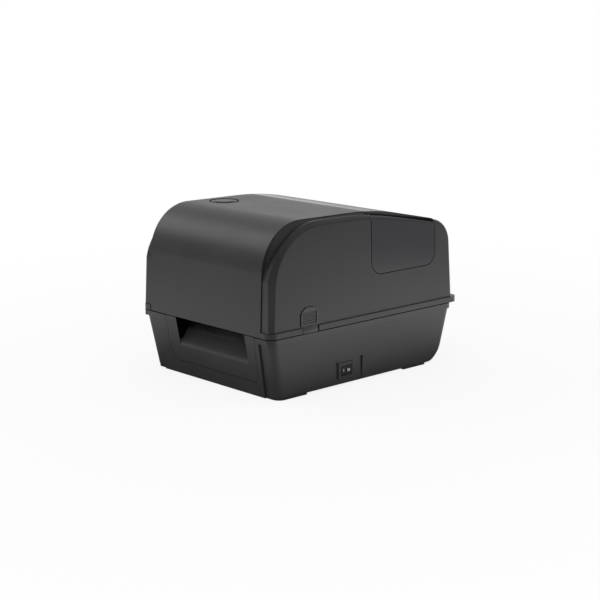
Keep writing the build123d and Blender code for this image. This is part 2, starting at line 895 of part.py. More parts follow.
def neck_slot(side):
    """The deck's slot for a holder's neck, with room for its travel."""
    rack_pitch_y = roll_y + side * holder_pitch
    plate_from = toward(side, holder_open + flange_thick)
    xs = sorted(
        (
            plate_from - side * (holder_travel + run_clear),
            plate_from + side * (holder_foot_height + run_clear),
        )
    )
    ys = sorted(
        (
            rack_pitch_y + side * (dedendum * rack_module - run_clear),
            rack_pitch_y + side * (dedendum * rack_module + rack_back + run_clear),
        )
    )
    block(xs, ys, (deck_z - 1, deck_z + deck_thick + 1), Mode.SUBTRACT)


# The deck: a tray with a raised rim, columns' screw holes and an opening for the print mechanism
with BuildPart() as inner_deck:
    deck_y = (deck_front_y, deck_rear_y)
    deck_mid_y = sum(deck_y) / 2
    with BuildSketch(Plane.XY.offset(deck_z)):
        with Locations((0, deck_mid_y)):
            RectangleRounded(2 * deck_half, deck_y[1] - deck_y[0], deck_corner)
    extrude(amount=part_z - rim_height - deck_z)
    with BuildSketch(Plane.XY.offset(deck_z + deck_thick)):
        with Locations((0, deck_mid_y)):
            RectangleRounded(
                2 * (deck_half - deck_thick),
                deck_y[1] - deck_y[0] - 2 * deck_thick,
                deck_corner - deck_thick,
            )
    extrude(amount=part_z, mode=Mode.SUBTRACT)
    block(mech_x, (deck_front_y, mech_rear_y), (deck_z, part_z), Mode.SUBTRACT)
    rear_rim_y = (deck_rear_y - 2 * deck_thick, deck_rear_y + 1)
    block(fanfold_x, rear_rim_y, (fanfold_z[0] - 1, part_z), Mode.SUBTRACT)
    with Locations(*column_places(deck_z)):
        Cylinder(screw_radius + seat_clear, 4 * deck_thick, mode=Mode.SUBTRACT)
    neck_slot(-1)
    neck_slot(1)

with BuildPart() as deck_screws:
    for place in column_places(deck_z + deck_thick):
        with Locations(place):
            Cylinder(screw_radius, screw_length, align=(Align.CENTER, Align.CENTER, Align.MAX))
            Cylinder(screw_head_radius, screw_head_height, align=(Align.CENTER, Align.CENTER, Align.MIN))
    fillet(deck_screws.edges().group_by(Axis.Z)[-1], screw_head_height / 3)


frame_top_z = carriage_pivot[1] + 8.0
frame_top_y = carriage_pivot[0] - 10.0
frame_shoulder_y = platen_y + 34.0
frame_shoulder_z = platen_z + bush_radius + 1.0
frame_nose = (frame_front_y + 2.0, platen_z - 16.0)
frame_small_radius = 3.0
frame_corner_radius = 6.0
frame_throat_radius = 20.0
motor_size = 42.0
motor_corner = 4.0
motor_length = 36.0
motor_shaft_radius = 2.5
motor_boss_radius = 11.0
gear_bore = 2.5
gear_x = (gear_plane_x, gear_plane_x + gear_face)
shaft_end = 1.5
shaft_past = 3.0
shaft_chamfer = 0.5
sleeve_chamfer = 0.4
pin_head = 1.5


def side_frame(x, for_motor):
    """A steel side plate: stands on the housing's floor and carries the platen and the carriage's pivot."""
    with BuildPart() as plate:
        with BuildSketch(Plane.YZ.offset(x)):
            with BuildLine():
                FilletPolyline(
                    (frame_front_y, floor_z),
                    (frame_rear_y, floor_z),
                    (frame_rear_y, frame_top_z),
                    (frame_top_y, frame_top_z),
                    (frame_shoulder_y, frame_shoulder_z),
                    (platen_y - bush_flange - 2.0, frame_shoulder_z),
                    frame_nose,
                    radius=[
                        frame_small_radius,
                        frame_corner_radius,
                        frame_corner_radius,
                        frame_throat_radius,
                        frame_small_radius,
                    ],
                )
                Line(frame_nose, (frame_front_y, floor_z))
            make_face()
            with Locations(carriage_pivot):
                Circle(carriage_pin_radius, mode=Mode.SUBTRACT)
            with Locations(platen_axis):
                Circle(bush_radius, mode=Mode.SUBTRACT)
            if for_motor:
                with Locations(motor_axis):
                    Circle(motor_boss_radius + seat_clear, mode=Mode.SUBTRACT)
        extrude(amount=frame_thick)
    return plate.part


with BuildPart() as left_side_frame:
    add(side_frame(frame_left_x - frame_thick, True))
with BuildPart() as right_side_frame:
    add(side_frame(frame_right_x, False))


def platen_bush(inner_x, outward):
    """A flanged bush: its sleeve fills the side plate's hole, its flange lies inside."""
    with BuildPart() as bush:
        disc(platen_axis, inner_x, inner_x + outward * frame_thick, bush_radius)
        disc(platen_axis, inner_x, inner_x - outward * frame_thick, bush_flange)
        disc(
            platen_axis,
            inner_x - 2 * frame_thick,
            inner_x + 2 * frame_thick,
            platen_shaft_radius + pin_clear,
            Mode.SUBTRACT,
        )
    return bush.part


with BuildPart() as platen_bush_left:
    add(platen_bush(frame_left_x, -1))
with BuildPart() as platen_bush_right:
    add(platen_bush(frame_right_x, 1))

with BuildPart() as platen_shaft:
    disc(platen_axis, gear_x[0] - shaft_end, frame_right_x + frame_thick + shaft_past, platen_shaft_radius)
    chamfer(platen_shaft.edges().filter_by(GeomType.CIRCLE), shaft_chamfer)

with BuildPart() as platen_sleeve:
    disc(platen_axis, platen_rubber[0], platen_rubber[1], platen_radius)
    chamfer(platen_sleeve.edges().filter_by(GeomType.CIRCLE), sleeve_chamfer)
    disc(platen_axis, platen_rubber[0], platen_rubber[1], platen_shaft_radius, Mode.SUBTRACT)


def spur_gear(axis, span, teeth, module, phase, bore):
    """A spur gear across X, between two x values."""
    with BuildPart() as gear:
        with BuildSketch(Plane.YZ.offset(span[0])):
            involute_gear(teeth, module, phase)
            Circle(bore, mode=Mode.SUBTRACT)
        extrude(amount=span[1] - span[0])
    return gear.part.moved(Location((0, axis[0], axis[1])))


with BuildPart() as platen_gear:
    add(spur_gear(platen_axis, gear_x, platen_teeth, gear_module, platen_phase, platen_shaft_radius))
with BuildPart() as idler_gear:
    add(spur_gear(idler_axis, gear_x, idler_teeth, gear_module, idler_phase, gear_bore + pin_clear))
with BuildPart() as idler_pin:
    disc(idler_axis, gear_x[0] - 1.0, frame_left_x - frame_thick, gear_bore)
    disc(idler_axis, gear_x[0] - pin_head, gear_x[0] - run_clear, gear_bore + pin_head)
with BuildPart() as motor_pinion:
    add(spur_gear(motor_axis, gear_x, pinion_teeth, gear_module, pinion_phase, motor_shaft_radius))
    disc(motor_axis, gear_x[0] - 1.0, frame_left_x - frame_thick - run_clear, motor_shaft_radius)

with BuildPart() as stepper_motor:
    motor_x = (frame_left_x, frame_left_x + motor_length)
    with BuildSketch(Plane.YZ.offset(motor_x[0])):
        with Locations(motor_axis):
            RectangleRounded(motor_size, motor_size, motor_corner)
    extrude(amount=motor_length)
    disc(motor_axis, motor_x[0] - frame_thick, motor_x[0], motor_boss_radius)

# Media guide between the side plates, and the tear bar on the ramp's top
guide_y = (-98.0, frame_rear_y)
guide_z = (56.0, 57.6)
guide_flange = 8.0
sensor_y = (-66.0, -54.0)
sensor_inset = 3.0
rail_y = (sensor_y[0] + sensor_inset, sensor_y[1] - sensor_inset)
rail_drop = 5.0
rail_z = guide_z[0] - rail_drop
rail_radius = 1.5
with BuildPart() as media_guide:
    block((frame_left_x, frame_right_x), guide_y, guide_z)
    for x, out in ((frame_left_x, 1), (frame_right_x, -1)):
        block((x, x + out * 2 * frame_thick), guide_y, (guide_z[0] - guide_flange, guide_z[0]))
    for y in rail_y:
        disc((y, rail_z), frame_left_x, frame_right_x, rail_radius, Mode.SUBTRACT)

# Tear bar: a toothed strip that lies on the ramp's upper end
tear_thick = 1.0
tear_seat = 7.0
tear_reach = 2.2
tooth_pitch = 3.0
tooth_depth = 1.2
with BuildPart() as tear_bar:
    sill_point = (front_plane_y(slot_sill), slot_sill)
    slope = Vector(0, ramp_top[0] - sill_point[0], ramp_top[1] - sill_point[1]).normalized()
    ramp_plane = Plane(
        origin=(slot_left, ramp_top[0], ramp_top[1]),
        x_dir=(1, 0, 0),
        z_dir=Vector(1, 0, 0).cross(slope),
    )
    with BuildSketch(ramp_plane):
        with BuildLine():
            tooth_count = int((slot_right - slot_left) / tooth_pitch)
            edge_points = []
            for k in range(tooth_count):
                edge_points.append((k * tooth_pitch, tear_reach))
                edge_points.append(((k + 0.5) * tooth_pitch, tear_reach - tooth_depth))
            edge_points.append((tooth_count * tooth_pitch, tear_reach))
            Polyline((0, -tear_seat), *edge_points, (tooth_count * tooth_pitch, -tear_seat), close=True)
        make_face()
    extrude(amount=tear_thick)

# Carriage: two arms, a head beam and the ribbon spindles' bearings
arm_boss_radius = 8.0
arm_front_y = -123.0
arm_low_z = part_z + arm_gap
arm_nose_z = 86.0
beam_z = (74.0, 77.0)
head_x = (slot_left, slot_right)
arm_inner = (carriage_left_x + carriage_arm, carriage_right_x - carriage_arm)
arm_toe_y = arm_front_y + 20.0
arm_small_radius = 4.0
arm_window = (-82.0, 98.0)
arm_window_size = (34.0, 20.0)
arm_window_tilt = 20.0
beam_y = (arm_front_y + 1.0, head_y[1] + 4.0)
lip_y = (arm_front_y + 1.0, arm_front_y + 3.0)
stay_y = (carriage_pivot[0] - 16.0, carriage_pivot[0] - 4.0)
stay_z = (carriage_pivot[1] + 12.0, carriage_pivot[1] + 14.0)

with BuildPart() as printhead_carriage:
    for x in (carriage_left_x, arm_inner[1]):
        with BuildSketch(Plane.YZ.offset(x)):
            with BuildLine():
                FilletPolyline(
                    (arm_front_y, arm_low_z),
                    (arm_front_y, arm_nose_z),
                    (rewind_axis[0] - arm_boss_radius, rewind_axis[1] + arm_boss_radius),
                    (supply_axis[0] + arm_boss_radius, supply_axis[1] + arm_boss_radius),
                    (carriage_pivot[0] + arm_boss_radius, carriage_pivot[1]),
                    (carriage_pivot[0], carriage_pivot[1] - arm_boss_radius),
                    (arm_toe_y, arm_low_z),
                    radius=[
                        arm_small_radius,
                        arm_boss_radius,
                        arm_boss_radius,
                        arm_small_radius,
                        arm_small_radius,
                    ],
                )
                Line((arm_toe_y, arm_low_z), (arm_front_y, arm_low_z))
            make_face()
            with Locations(carriage_pivot):
                Circle(carriage_pin_radius + pin_clear, mode=Mode.SUBTRACT)
            with Locations(rewind_axis, supply_axis):
                Circle(spindle_shaft_radius + pin_clear, mode=Mode.SUBTRACT)
            # Lightening hole
            with Locations(arm_window):
                SlotOverall(*arm_window_size, rotation=arm_window_tilt, mode=Mode.SUBTRACT)
        extrude(amount=carriage_arm)
    # Beam over the head, and a stay between the arms near the pivot
    block(arm_inner, beam_y, beam_z)
    block(arm_inner, lip_y, (beam_z[0], arm_nose_z))
    block(arm_inner, stay_y, stay_z)
    disc(ribbon_pinion_axis, carriage_left_x - 1, arm_inner[0] + 1, motor_shaft_radius, Mode.SUBTRACT)

# Printhead: a ceramic strip under its finned heat sink, hung from the beam by two springs
with BuildPart() as printhead:
    block(head_x, head_y, (head_z, head_z + head_thick))

fin_pitch = 3.4
fin_thick = 1.2
fin_inset = 24.0
fin_top = beam_z[0] - 2.0
sink_base = 3.0
sink_z = head_z + head_thick
post_inset = 12.0
post_half = 2.0
post_x = (head_x[0] + post_inset, head_x[1] - post_inset)
head_mid_y = sum(head_y) / 2
with BuildPart() as heat_sink:
    block(head_x, head_y, (sink_z, sink_z + sink_base))
    fin_count = int((head_y[1] - head_y[0]) / fin_pitch)
    for k in range(fin_count):
        fin_y = head_y[0] + (k + 0.5) * fin_pitch
        fin_x = (head_x[0] + fin_inset, head_x[1] - fin_inset)
        block(fin_x, (fin_y - fin_thick / 2, fin_y + fin_thick / 2), (sink_z, fin_top))
    # Two posts that the beam holds
    for x in post_x:
        with Locations((x, head_mid_y, sink_z)):
            Cylinder(post_half, beam_z[0] - sink_z, align=(Align.CENTER, Align.CENTER, Align.MIN))

spring_wire = 0.45
spring_radius = 3.4
spring_turns = 4
with BuildPart() as head_springs:
    spring_height = beam_z[0] - sink_z - sink_base - 2 * spring_wire
    for x in post_x:
        spring_base = Location((x, head_mid_y, sink_z + sink_base + spring_wire))
        coil = Helix(spring_height / spring_turns, spring_height, spring_radius, mode=Mode.PRIVATE)
        coil = coil.moved(spring_base)
        with BuildSketch(Plane(origin=coil @ 0, z_dir=coil % 0)):
            RegularPolygon(spring_wire, 6)
        sweep(path=coil)

with BuildPart() as carriage_pins:
    disc(carriage_pivot, frame_left_x - frame_thick - 1.0, arm_inner[0] + 1.0, carriage_pin_radius)
    disc(carriage_pivot, arm_inner[1] - 1.0, frame_right_x + frame_thick + 1.0, carriage_pin_radius)


rib_wide = 3.0
rib_high = 1.5
rib_angles = (45.0, 135.0, 225.0, 315.0)
core_x = (head_x[0] + 2.0, head_x[1] - 2.0)
collar_x = (head_x[0] + 1.0, head_x[0] + 3.0)
collar_radius = spindle_radius + 2.0
ribbon_gear_x = (arm_inner[0] + run_clear, collar_x[0] - run_clear)


def ribbon_core(axis):
    """A ribbon spindle: a ribbed core with a collar, on a thin shaft through both arms."""
    with BuildPart() as core:
        with BuildSketch(Plane.YZ.offset(core_x[0])):
            with Locations(axis):
                Circle(spindle_radius - rib_high)
                for angle in rib_angles:
                    with Locations(Location((0, 0, 0), (0, 0, angle))):
                        with Locations((spindle_radius / 2, 0)):
                            Rectangle(spindle_radius, rib_wide)
        extrude(amount=core_x[1] - core_x[0])
        disc(axis, carriage_left_x - 1.0, carriage_right_x + 1.0, spindle_shaft_radius)
        disc(axis, collar_x[0], collar_x[1], collar_radius)
    return core.part


with BuildPart() as rewind_spindle:
    add(ribbon_core(rewind_axis))
with BuildPart() as supply_spindle:
    add(ribbon_core(supply_axis))
with BuildPart() as rewind_gear:
    add(
        spur_gear(
            rewind_axis,
            ribbon_gear_x,
            rewind_teeth,
            ribbon_module,
            rewind_phase,
            spindle_shaft_radius,
        )
    )
ribbon_shaft_radius = 1.5
ribbon_motor_radius = 10.0
ribbon_motor_length = 22.0
motor_chamfer = 1.5
with BuildPart() as ribbon_pinion:
    add(
        spur_gear(
            ribbon_pinion_axis,
            ribbon_gear_x,
            ribbon_pinion_teeth,
            ribbon_module,
            ribbon_pinion_phase,
            ribbon_shaft_radius,
        )
    )
    disc(ribbon_pinion_axis, carriage_left_x + run_clear, arm_inner[0] + 1.0, ribbon_shaft_radius)
with BuildPart() as ribbon_motor:
    disc(ribbon_pinion_axis, carriage_left_x - ribbon_motor_length, carriage_left_x, ribbon_motor_radius)
    chamfer(ribbon_motor.edges().filter_by(GeomType.CIRCLE).sort_by(Axis.X)[0], motor_chamfer)

# Release lever outside the right arm
lever_axis = (-108.0, 80.0)
lever_thick = 2.5
lever_x = carriage_right_x + run_clear
lever_front = lever_axis[0] - 7.0
lever_back = lever_axis[0] + 7.0
lever_low = lever_axis[1] - 16.0
lever_bend = lever_axis[1] + 15.0
lever_tip = (lever_axis[0] - 12.0, lever_axis[1] + 34.0)
lever_heel = (lever_axis[0] + 2.0, lever_axis[1] + 36.0)
lever_radius = 8.0
lever_tip_radius = 3.0
tab_y = (lever_axis[0] - 10.0, lever_axis[0] + 1.0)
tab_z = (lever_axis[1] + 31.0, lever_axis[1] + 34.0)
with BuildPart() as release_lever:
    with BuildSketch(Plane.YZ.offset(lever_x)):
        with BuildLine():
            FilletPolyline(
                (lever_front, lever_low),
                (lever_front, lever_bend),
                lever_tip,
                lever_heel,
                (lever_back, lever_bend),
                (lever_back, lever_low),
                radius=[lever_radius, lever_tip_radius, lever_tip_radius, lever_radius],
            )
            Line((lever_back, lever_low), (lever_front, lever_low))
        make_face()
        with Locations(lever_axis):
            Circle(carriage_pin_radius + pin_clear, mode=Mode.SUBTRACT)
    extrude(amount=lever_thick)
    block((lever_x, lever_x + 4 * lever_thick), tab_y, tab_z)
with BuildPart() as lever_pin:
    head_from = lever_x + lever_thick + run_clear
    disc(lever_axis, carriage_right_x, head_from + pin_head, carriage_pin_radius)
    disc(lever_axis, head_from, head_from + pin_head, carriage_pin_radius + pin_head)

# Roll holders
holder_low = deck_z + deck_thick + run_clear
holder_high = deck_z + deck_thick + holder_foot_height
holder_corner = 3.0
holder_sweep = 30.0
foot_inner = 4.0
foot_outer = 14.0
rack_low = rack_top - rack_height
rack_pitch_length = pi * rack_module


def roll_holder(side):
    """A roll holder: foot, upright, flange and core stub, with its rack under the deck."""
    with BuildPart() as holder:
        plate_from = toward(side, holder_open + flange_thick)
        with BuildSketch(Plane.YZ.offset(plate_from)):
            with BuildLine():
                FilletPolyline(
                    (holder_foot[0], holder_low),
                    (holder_foot[0], holder_high),
                    (roll_y - stub_radius, roll_z),
                    (roll_y - stub_radius, roll_z + stub_radius),
                    (roll_y + stub_radius, roll_z + stub_radius),
                    (roll_y + stub_radius, roll_z),
                    (holder_foot[1], holder_high),
                    (holder_foot[1], holder_low),
                    radius=[
                        holder_corner,
                        holder_sweep,
                        stub_radius - 1.0,
                        stub_radius - 1.0,
                        holder_sweep,
                        holder_corner,
                    ],
                )
                Line((holder_foot[1], holder_low), (holder_foot[0], holder_low))
            make_face()
        extrude(amount=side * holder_plate)
        disc((roll_y, roll_z), toward(side, holder_open), plate_from, flange_radius)
        disc((roll_y, roll_z), toward(side, holder_open - stub_length), plate_from, stub_radius)
        # Foot plate, neck through the deck and rack below it
        foot_x = sorted((plate_from - side * foot_inner, plate_from + side * foot_outer))
        block(foot_x, holder_foot, (holder_low, deck_z + deck_thick + holder_foot_height / 2))
        rack_pitch_y = roll_y + side * holder_pitch
        back_from = rack_pitch_y + side * dedendum * rack_module
        back_y = sorted((back_from, back_from + side * rack_back))
        neck_x = sorted((plate_from, plate_from + side * holder_foot_height))
        block(neck_x, back_y, (rack_low, deck_z + deck_thick + 1.0))
        bar_x = sorted((toward(-side, rack_past), plate_from + side * holder_foot_height))
        block(bar_x, back_y, (rack_low, rack_top))
        # Rack teeth: a gap stands over the pinion's tooth at the middle
        count = int((rack_past + holder_open - holder_foot_height) / rack_pitch_length)
        half_tooth = rack_pitch_length / 4 - backlash / 2
        tip_half = half_tooth - addendum * rack_module * tan(pressure_angle)
        root_half = half_tooth + dedendum * rack_module * tan(pressure_angle)
        start = -int((rack_past - rack_pitch_length / 2) / rack_pitch_length)
        with BuildSketch(Plane.XY.offset(rack_low)):
            for k in range(start, start + count):
                tooth_x = slot_mid + side * (k + 0.5) * rack_pitch_length
                tip_y = rack_pitch_y - side * addendum * rack_module
                with BuildLine():
                    Polyline(
                        (tooth_x - root_half, back_from),
                        (tooth_x - tip_half, tip_y),
                        (tooth_x + tip_half, tip_y),
                        (tooth_x + root_half, back_from),
                        close=True,
                    )
                make_face()
        extrude(amount=rack_height)
    return holder.part


with BuildPart() as roll_holder_left:
    add(roll_holder(-1))
with BuildPart() as roll_holder_right:
    add(roll_holder(1))

holder_pin_radius = 2.5
holder_pin_head = 4.5
with BuildPart() as holder_pinion:
    with BuildSketch(Plane.XY.offset(rack_low + run_clear)):
        involute_gear(holder_teeth, rack_module, pi / 2)
        Circle(holder_pin_radius + pin_clear, mode=Mode.SUBTRACT)
    extrude(amount=rack_height - 2 * run_clear)
holder_pinion.part = holder_pinion.part.moved(Location((slot_mid, roll_y, 0)))

with BuildPart() as holder_pin:
    with Locations((slot_mid, roll_y, deck_z)):
        Cylinder(holder_pin_radius, rack_height + run_clear, align=(Align.CENTER, Align.CENTER, Align.MAX))
    with Locations((slot_mid, roll_y, rack_low)):
        Cylinder(holder_pin_head, pin_head, align=(Align.CENTER, Align.CENTER, Align.MAX))


# Power switch: a flanged body in the wall's hole, with a rocker that turns about an upright axis
flange_edge = 1.2
rocker_radius = 8.5
rocker_z = (10.8, 21.7)
rocker_swing = 20.0
rocker_pivot_x = switch_face_x - 2.0
rocker_waist = 2.2
rocker_end = 3.6
rocker_back = -4.5
rocker_pin_radius = 1.0
switch_depth = 15.0
switch_corner = 1.0
blade_length = 6.0
blade_half = (2.5, 0.4)
blade_off = 3.0
with BuildPart() as power_switch:
    block(
        (switch_face_x, switch_face_x + flange_edge),
        (switch_y[0] - flange_edge, switch_y[1] + flange_edge),
        (switch_z[0] - flange_edge, switch_z[1] + flange_edge),
    )
    fillet(power_switch.edges().filter_by(Axis.X), switch_corner)
    block(
        (switch_face_x - switch_depth, switch_face_x),
        (switch_y[0] + seat_clear, switch_y[1] - seat_clear),
        (switch_z[0] + seat_clear, switch_z[1] - seat_clear),
    )
    block(
        (rocker_pivot_x - rocker_radius - run_clear, switch_face_x + 2 * flange_edge),
        (switch_mid_y - rocker_radius - run_clear, switch_mid_y + rocker_radius + run_clear),
        (rocker_z[0] - run_clear, rocker_z[1] + run_clear),
        Mode.SUBTRACT,
    )
    for z in (switch_mid_z - blade_off, switch_mid_z + blade_off):
        block(
            (switch_face_x - switch_depth - blade_length, switch_face_x - switch_depth),
            (switch_mid_y - blade_half[0], switch_mid_y + blade_half[0]),
            (z - blade_half[1], z + blade_half[1]),
        )
    with Locations((rocker_pivot_x, switch_mid_y, switch_mid_z)):
        Cylinder(rocker_pin_radius, switch_z[1] - switch_z[0] - 1.0)

with BuildPart() as power_rocker:
    with BuildSketch(Plane.XY.offset(rocker_z[0])):
        Circle(rocker_radius)
        with BuildLine():
            Polyline(
                (rocker_waist, 0),
                (rocker_end, rocker_radius),
                (rocker_back, rocker_radius),
                (rocker_back, -rocker_radius),
                (rocker_end, -rocker_radius),
                close=True,
            )
        make_face(mode=Mode.INTERSECT)
        Circle(rocker_pin_radius + pin_clear, mode=Mode.SUBTRACT)
    extrude(amount=rocker_z[1] - rocker_z[0])
power_rocker.part = power_rocker.part.moved(
    Location((rocker_pivot_x, switch_mid_y, 0), (0, 0, -rocker_swing / 2))
)

# Circuit board, with the processor, a chip and two capacitors
processor_x = (-30.0, -10.0)
processor_y = (20.0, 40.0)
processor_height = 2.0
chip_x = (-60.0, -48.0)
chip_y = (10.0, 22.0)
chip_height = 1.6
capacitor_x = (-70.0, -56.0)
capacitor_y = 60.0
capacitor_radius = 5.0
capacitor_height = 11.0
board_screw_length = 6.0
with BuildPart() as main_board:
    block(board_x, board_y, (board_z, board_top))
    with Locations(*standoff_places(board_z)):
        Cylinder(screw_radius + seat_clear, 4 * board_thick, mode=Mode.SUBTRACT)
    block(processor_x, processor_y, (board_top, board_top + processor_height))
    block(chip_x, chip_y, (board_top, board_top + chip_height))
    for x in capacitor_x:
        with Locations((x, capacitor_y, board_top)):
            Cylinder(capacitor_radius, capacitor_height, align=(Align.CENTER, Align.CENTER, Align.MIN))

with BuildPart() as board_screws:
    for place in standoff_places(board_top):
        with Locations(place):
            Cylinder(screw_radius, board_screw_length, align=(Align.CENTER, Align.CENTER, Align.MAX))
            Cylinder(screw_head_radius, screw_head_height, align=(Align.CENTER, Align.CENTER, Align.MIN))


# Sockets: half widths, depths from the face and heights above the board
dc_hole_radius = 4.2
dc_hole_depth = 10.0
dc_pin_radius = 1.25
dc_pin_length = 7.0
usb_hole_half = 4.2
usb_hole_depth = 10.0
usb_hole_z = (board_top + 1.6, board_top + 9.4)
usb_tongue_half = 2.8
usb_tongue_length = 9.0
usb_tongue_z = (board_top + 3.9, board_top + 7.1)
network_hole_half = 5.9
network_hole_depth = 12.0
network_hole_z = (board_top + 3.4, board_top + 11.6)
network_latch_half = 3.0
network_latch_z = (board_top + 1.4, board_top + 4.0)


def socket_shell(x, size):
    """A socket's body on the board, its face just outside the rear panel."""
    span_x = (x - size[0] / 2, x + size[0] / 2)
    block(span_x, (socket_face_y - socket_depth, socket_face_y), (board_top, board_top + size[1]))


def socket_hole(x, half, depth, z):
    """An opening in a socket's face."""
    block((x - half, x + half), (socket_face_y - depth, socket_face_y + 1), z, Mode.SUBTRACT)


with BuildPart() as dc_inlet:
    socket_shell(dc_x, dc_size)
    with Locations((dc_x, socket_face_y, board_top + dc_size[1] / 2)):
        Cylinder(dc_hole_radius, 2 * dc_hole_depth, rotation=(90, 0, 0), mode=Mode.SUBTRACT)
    with Locations((dc_x, socket_face_y - dc_hole_depth, board_top + dc_size[1] / 2)):
        Cylinder(dc_pin_radius, 2 * dc_pin_length, rotation=(90, 0, 0))
with BuildPart() as usb_socket:
    socket_shell(usb_x, usb_size)
    socket_hole(usb_x, usb_hole_half, usb_hole_depth, usb_hole_z)
    tongue_from = socket_face_y - usb_hole_depth
    tongue_x = (usb_x - usb_tongue_half, usb_x + usb_tongue_half)
    block(tongue_x, (tongue_from - 1, tongue_from + usb_tongue_length), usb_tongue_z)
with BuildPart() as network_socket:
    socket_shell(network_x, network_size)
    socket_hole(network_x, network_hole_half, network_hole_depth, network_hole_z)
    socket_hole(network_x, network_latch_half, network_hole_depth, network_latch_z)

with BuildPart() as socket_panel:
    block(
        (panel_x[0] + seat_clear, panel_x[1] - seat_clear),
        (panel_y - panel_plate, panel_y),
        (panel_z[0] + seat_clear, panel_z[1] - seat_clear),
    )
    for x, size in ((dc_x, dc_size), (usb_x, usb_size), (network_x, network_size)):
        block(
            (x - size[0] / 2 - seat_clear, x + size[0] / 2 + seat_clear),
            (panel_y - 2 * panel_plate, panel_y + panel_plate),
            (board_top - seat_clear, board_top + size[1] + seat_clear),
            Mode.SUBTRACT,
        )

# Lid latch pins
with BuildPart() as latch_pins:
    for side in (-1, 1):
        with Locations((side * (lid_side_x(lid_rim_top) - latch_thick), latch_mid_y, latch_pivot_z)):
            Cylinder(latch_pin_radius, 2 * (latch_half + ear_depth), rotation=(90, 0, 0))

# Media sensor, sliding on two rails under the media guide
with BuildPart() as sensor_rail:
    for y in rail_y:
        disc((y, rail_z), frame_left_x, frame_right_x, rail_radius)
sensor_half = 7.0
with BuildPart() as media_sensor:
    sensor_x = (slot_mid - sensor_half, slot_mid + sensor_half)
    block(sensor_x, sensor_y, (guide_z[0] - guide_flange, guide_z[0] - run_clear))
    for y in rail_y:
        disc((y, rail_z), sensor_x[0] - 1, sensor_x[1] + 1, rail_radius + pin_clear, Mode.SUBTRACT)

# Each piece is labelled and written to its own file
pieces = {
    "base_housing": base_housing,
    "front_bezel": front_bezel,
    "rubber_feet": rubber_feet,
    "lid_shell": lid_shell,
    "lid_panel": lid_panel,
    "lid_window": lid_window,
    "hinge_pins": hinge_pins,
    "feed_ring": feed_ring,
    "feed_button": feed_button,
    "latch_left": latch_left,
    "latch_right": latch_right,
    "inner_deck": inner_deck,
    "deck_screws": deck_screws,
    "left_side_frame": left_side_frame,
    "right_side_frame": right_side_frame,
    "platen_bush_left": platen_bush_left,
    "platen_bush_right": platen_bush_right,
    "platen_shaft": platen_shaft,
    "platen_sleeve": platen_sleeve,
    "platen_gear": platen_gear,
    "idler_gear": idler_gear,
    "idler_pin": idler_pin,
    "motor_pinion": motor_pinion,
    "stepper_motor": stepper_motor,
    "media_guide": media_guide,
    "tear_bar": tear_bar,
    "printhead_carriage": printhead_carriage,
    "printhead": printhead,
    "heat_sink": heat_sink,
    "head_springs": head_springs,
    "carriage_pins": carriage_pins,
    "rewind_spindle": rewind_spindle,
    "supply_spindle": supply_spindle,
    "rewind_gear": rewind_gear,
    "ribbon_pinion": ribbon_pinion,
    "ribbon_motor": ribbon_motor,
    "release_lever": release_lever,
    "lever_pin": lever_pin,
    "roll_holder_left": roll_holder_left,
    "roll_holder_right": roll_holder_right,
    "holder_pinion": holder_pinion,
    "holder_pin": holder_pin,
    "power_switch": power_switch,
    "power_rocker": power_rocker,
    "main_board": main_board,
    "board_screws": board_screws,
    "dc_inlet": dc_inlet,
    "usb_socket": usb_socket,
    "network_socket": network_socket,
    "socket_panel": socket_panel,
    "latch_pins": latch_pins,
    "sensor_rail": sensor_rail,
    "media_sensor": media_sensor,
}
for name, piece in pieces.items():
    piece.part.label = name
    export_step(piece.part, f"parts/{name}.step")
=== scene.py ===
import json
from math import acos, atan2, cos, degrees, hypot, pi, radians, sin, sqrt, tan

import bmesh
import bpy
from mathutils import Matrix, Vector


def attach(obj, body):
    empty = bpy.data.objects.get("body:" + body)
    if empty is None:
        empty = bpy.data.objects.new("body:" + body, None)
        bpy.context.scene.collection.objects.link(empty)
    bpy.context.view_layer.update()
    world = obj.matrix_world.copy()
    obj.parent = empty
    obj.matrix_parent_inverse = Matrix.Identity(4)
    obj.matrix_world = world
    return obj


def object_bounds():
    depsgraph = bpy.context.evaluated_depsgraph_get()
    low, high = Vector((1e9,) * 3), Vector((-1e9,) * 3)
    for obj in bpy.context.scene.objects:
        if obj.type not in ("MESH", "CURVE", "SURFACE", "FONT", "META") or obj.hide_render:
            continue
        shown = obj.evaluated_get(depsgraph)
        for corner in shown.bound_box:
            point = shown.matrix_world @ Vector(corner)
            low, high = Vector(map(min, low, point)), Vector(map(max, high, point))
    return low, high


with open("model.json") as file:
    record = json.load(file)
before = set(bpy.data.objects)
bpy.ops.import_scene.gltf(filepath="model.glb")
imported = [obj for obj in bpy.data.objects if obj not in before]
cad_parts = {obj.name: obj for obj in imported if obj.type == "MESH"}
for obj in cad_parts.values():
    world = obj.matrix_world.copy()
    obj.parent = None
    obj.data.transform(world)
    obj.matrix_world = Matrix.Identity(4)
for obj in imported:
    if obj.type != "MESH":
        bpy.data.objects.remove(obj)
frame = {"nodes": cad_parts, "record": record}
cad_low, cad_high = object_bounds()
NODES = frame["nodes"]

# Camera: the photograph's viewing angle, in degrees and metres
CAMERA_AZIMUTH = 46.96
CAMERA_ELEVATION = 12.19
CAMERA_DISTANCE = 1.625
CAMERA_TARGET = Vector((-0.00337, 0.0, 0.07159))
CAMERA_LENS = 86.58
SENSOR_WIDTH = 36.0
CLIP_START = 0.05
CLIP_END = 40.0

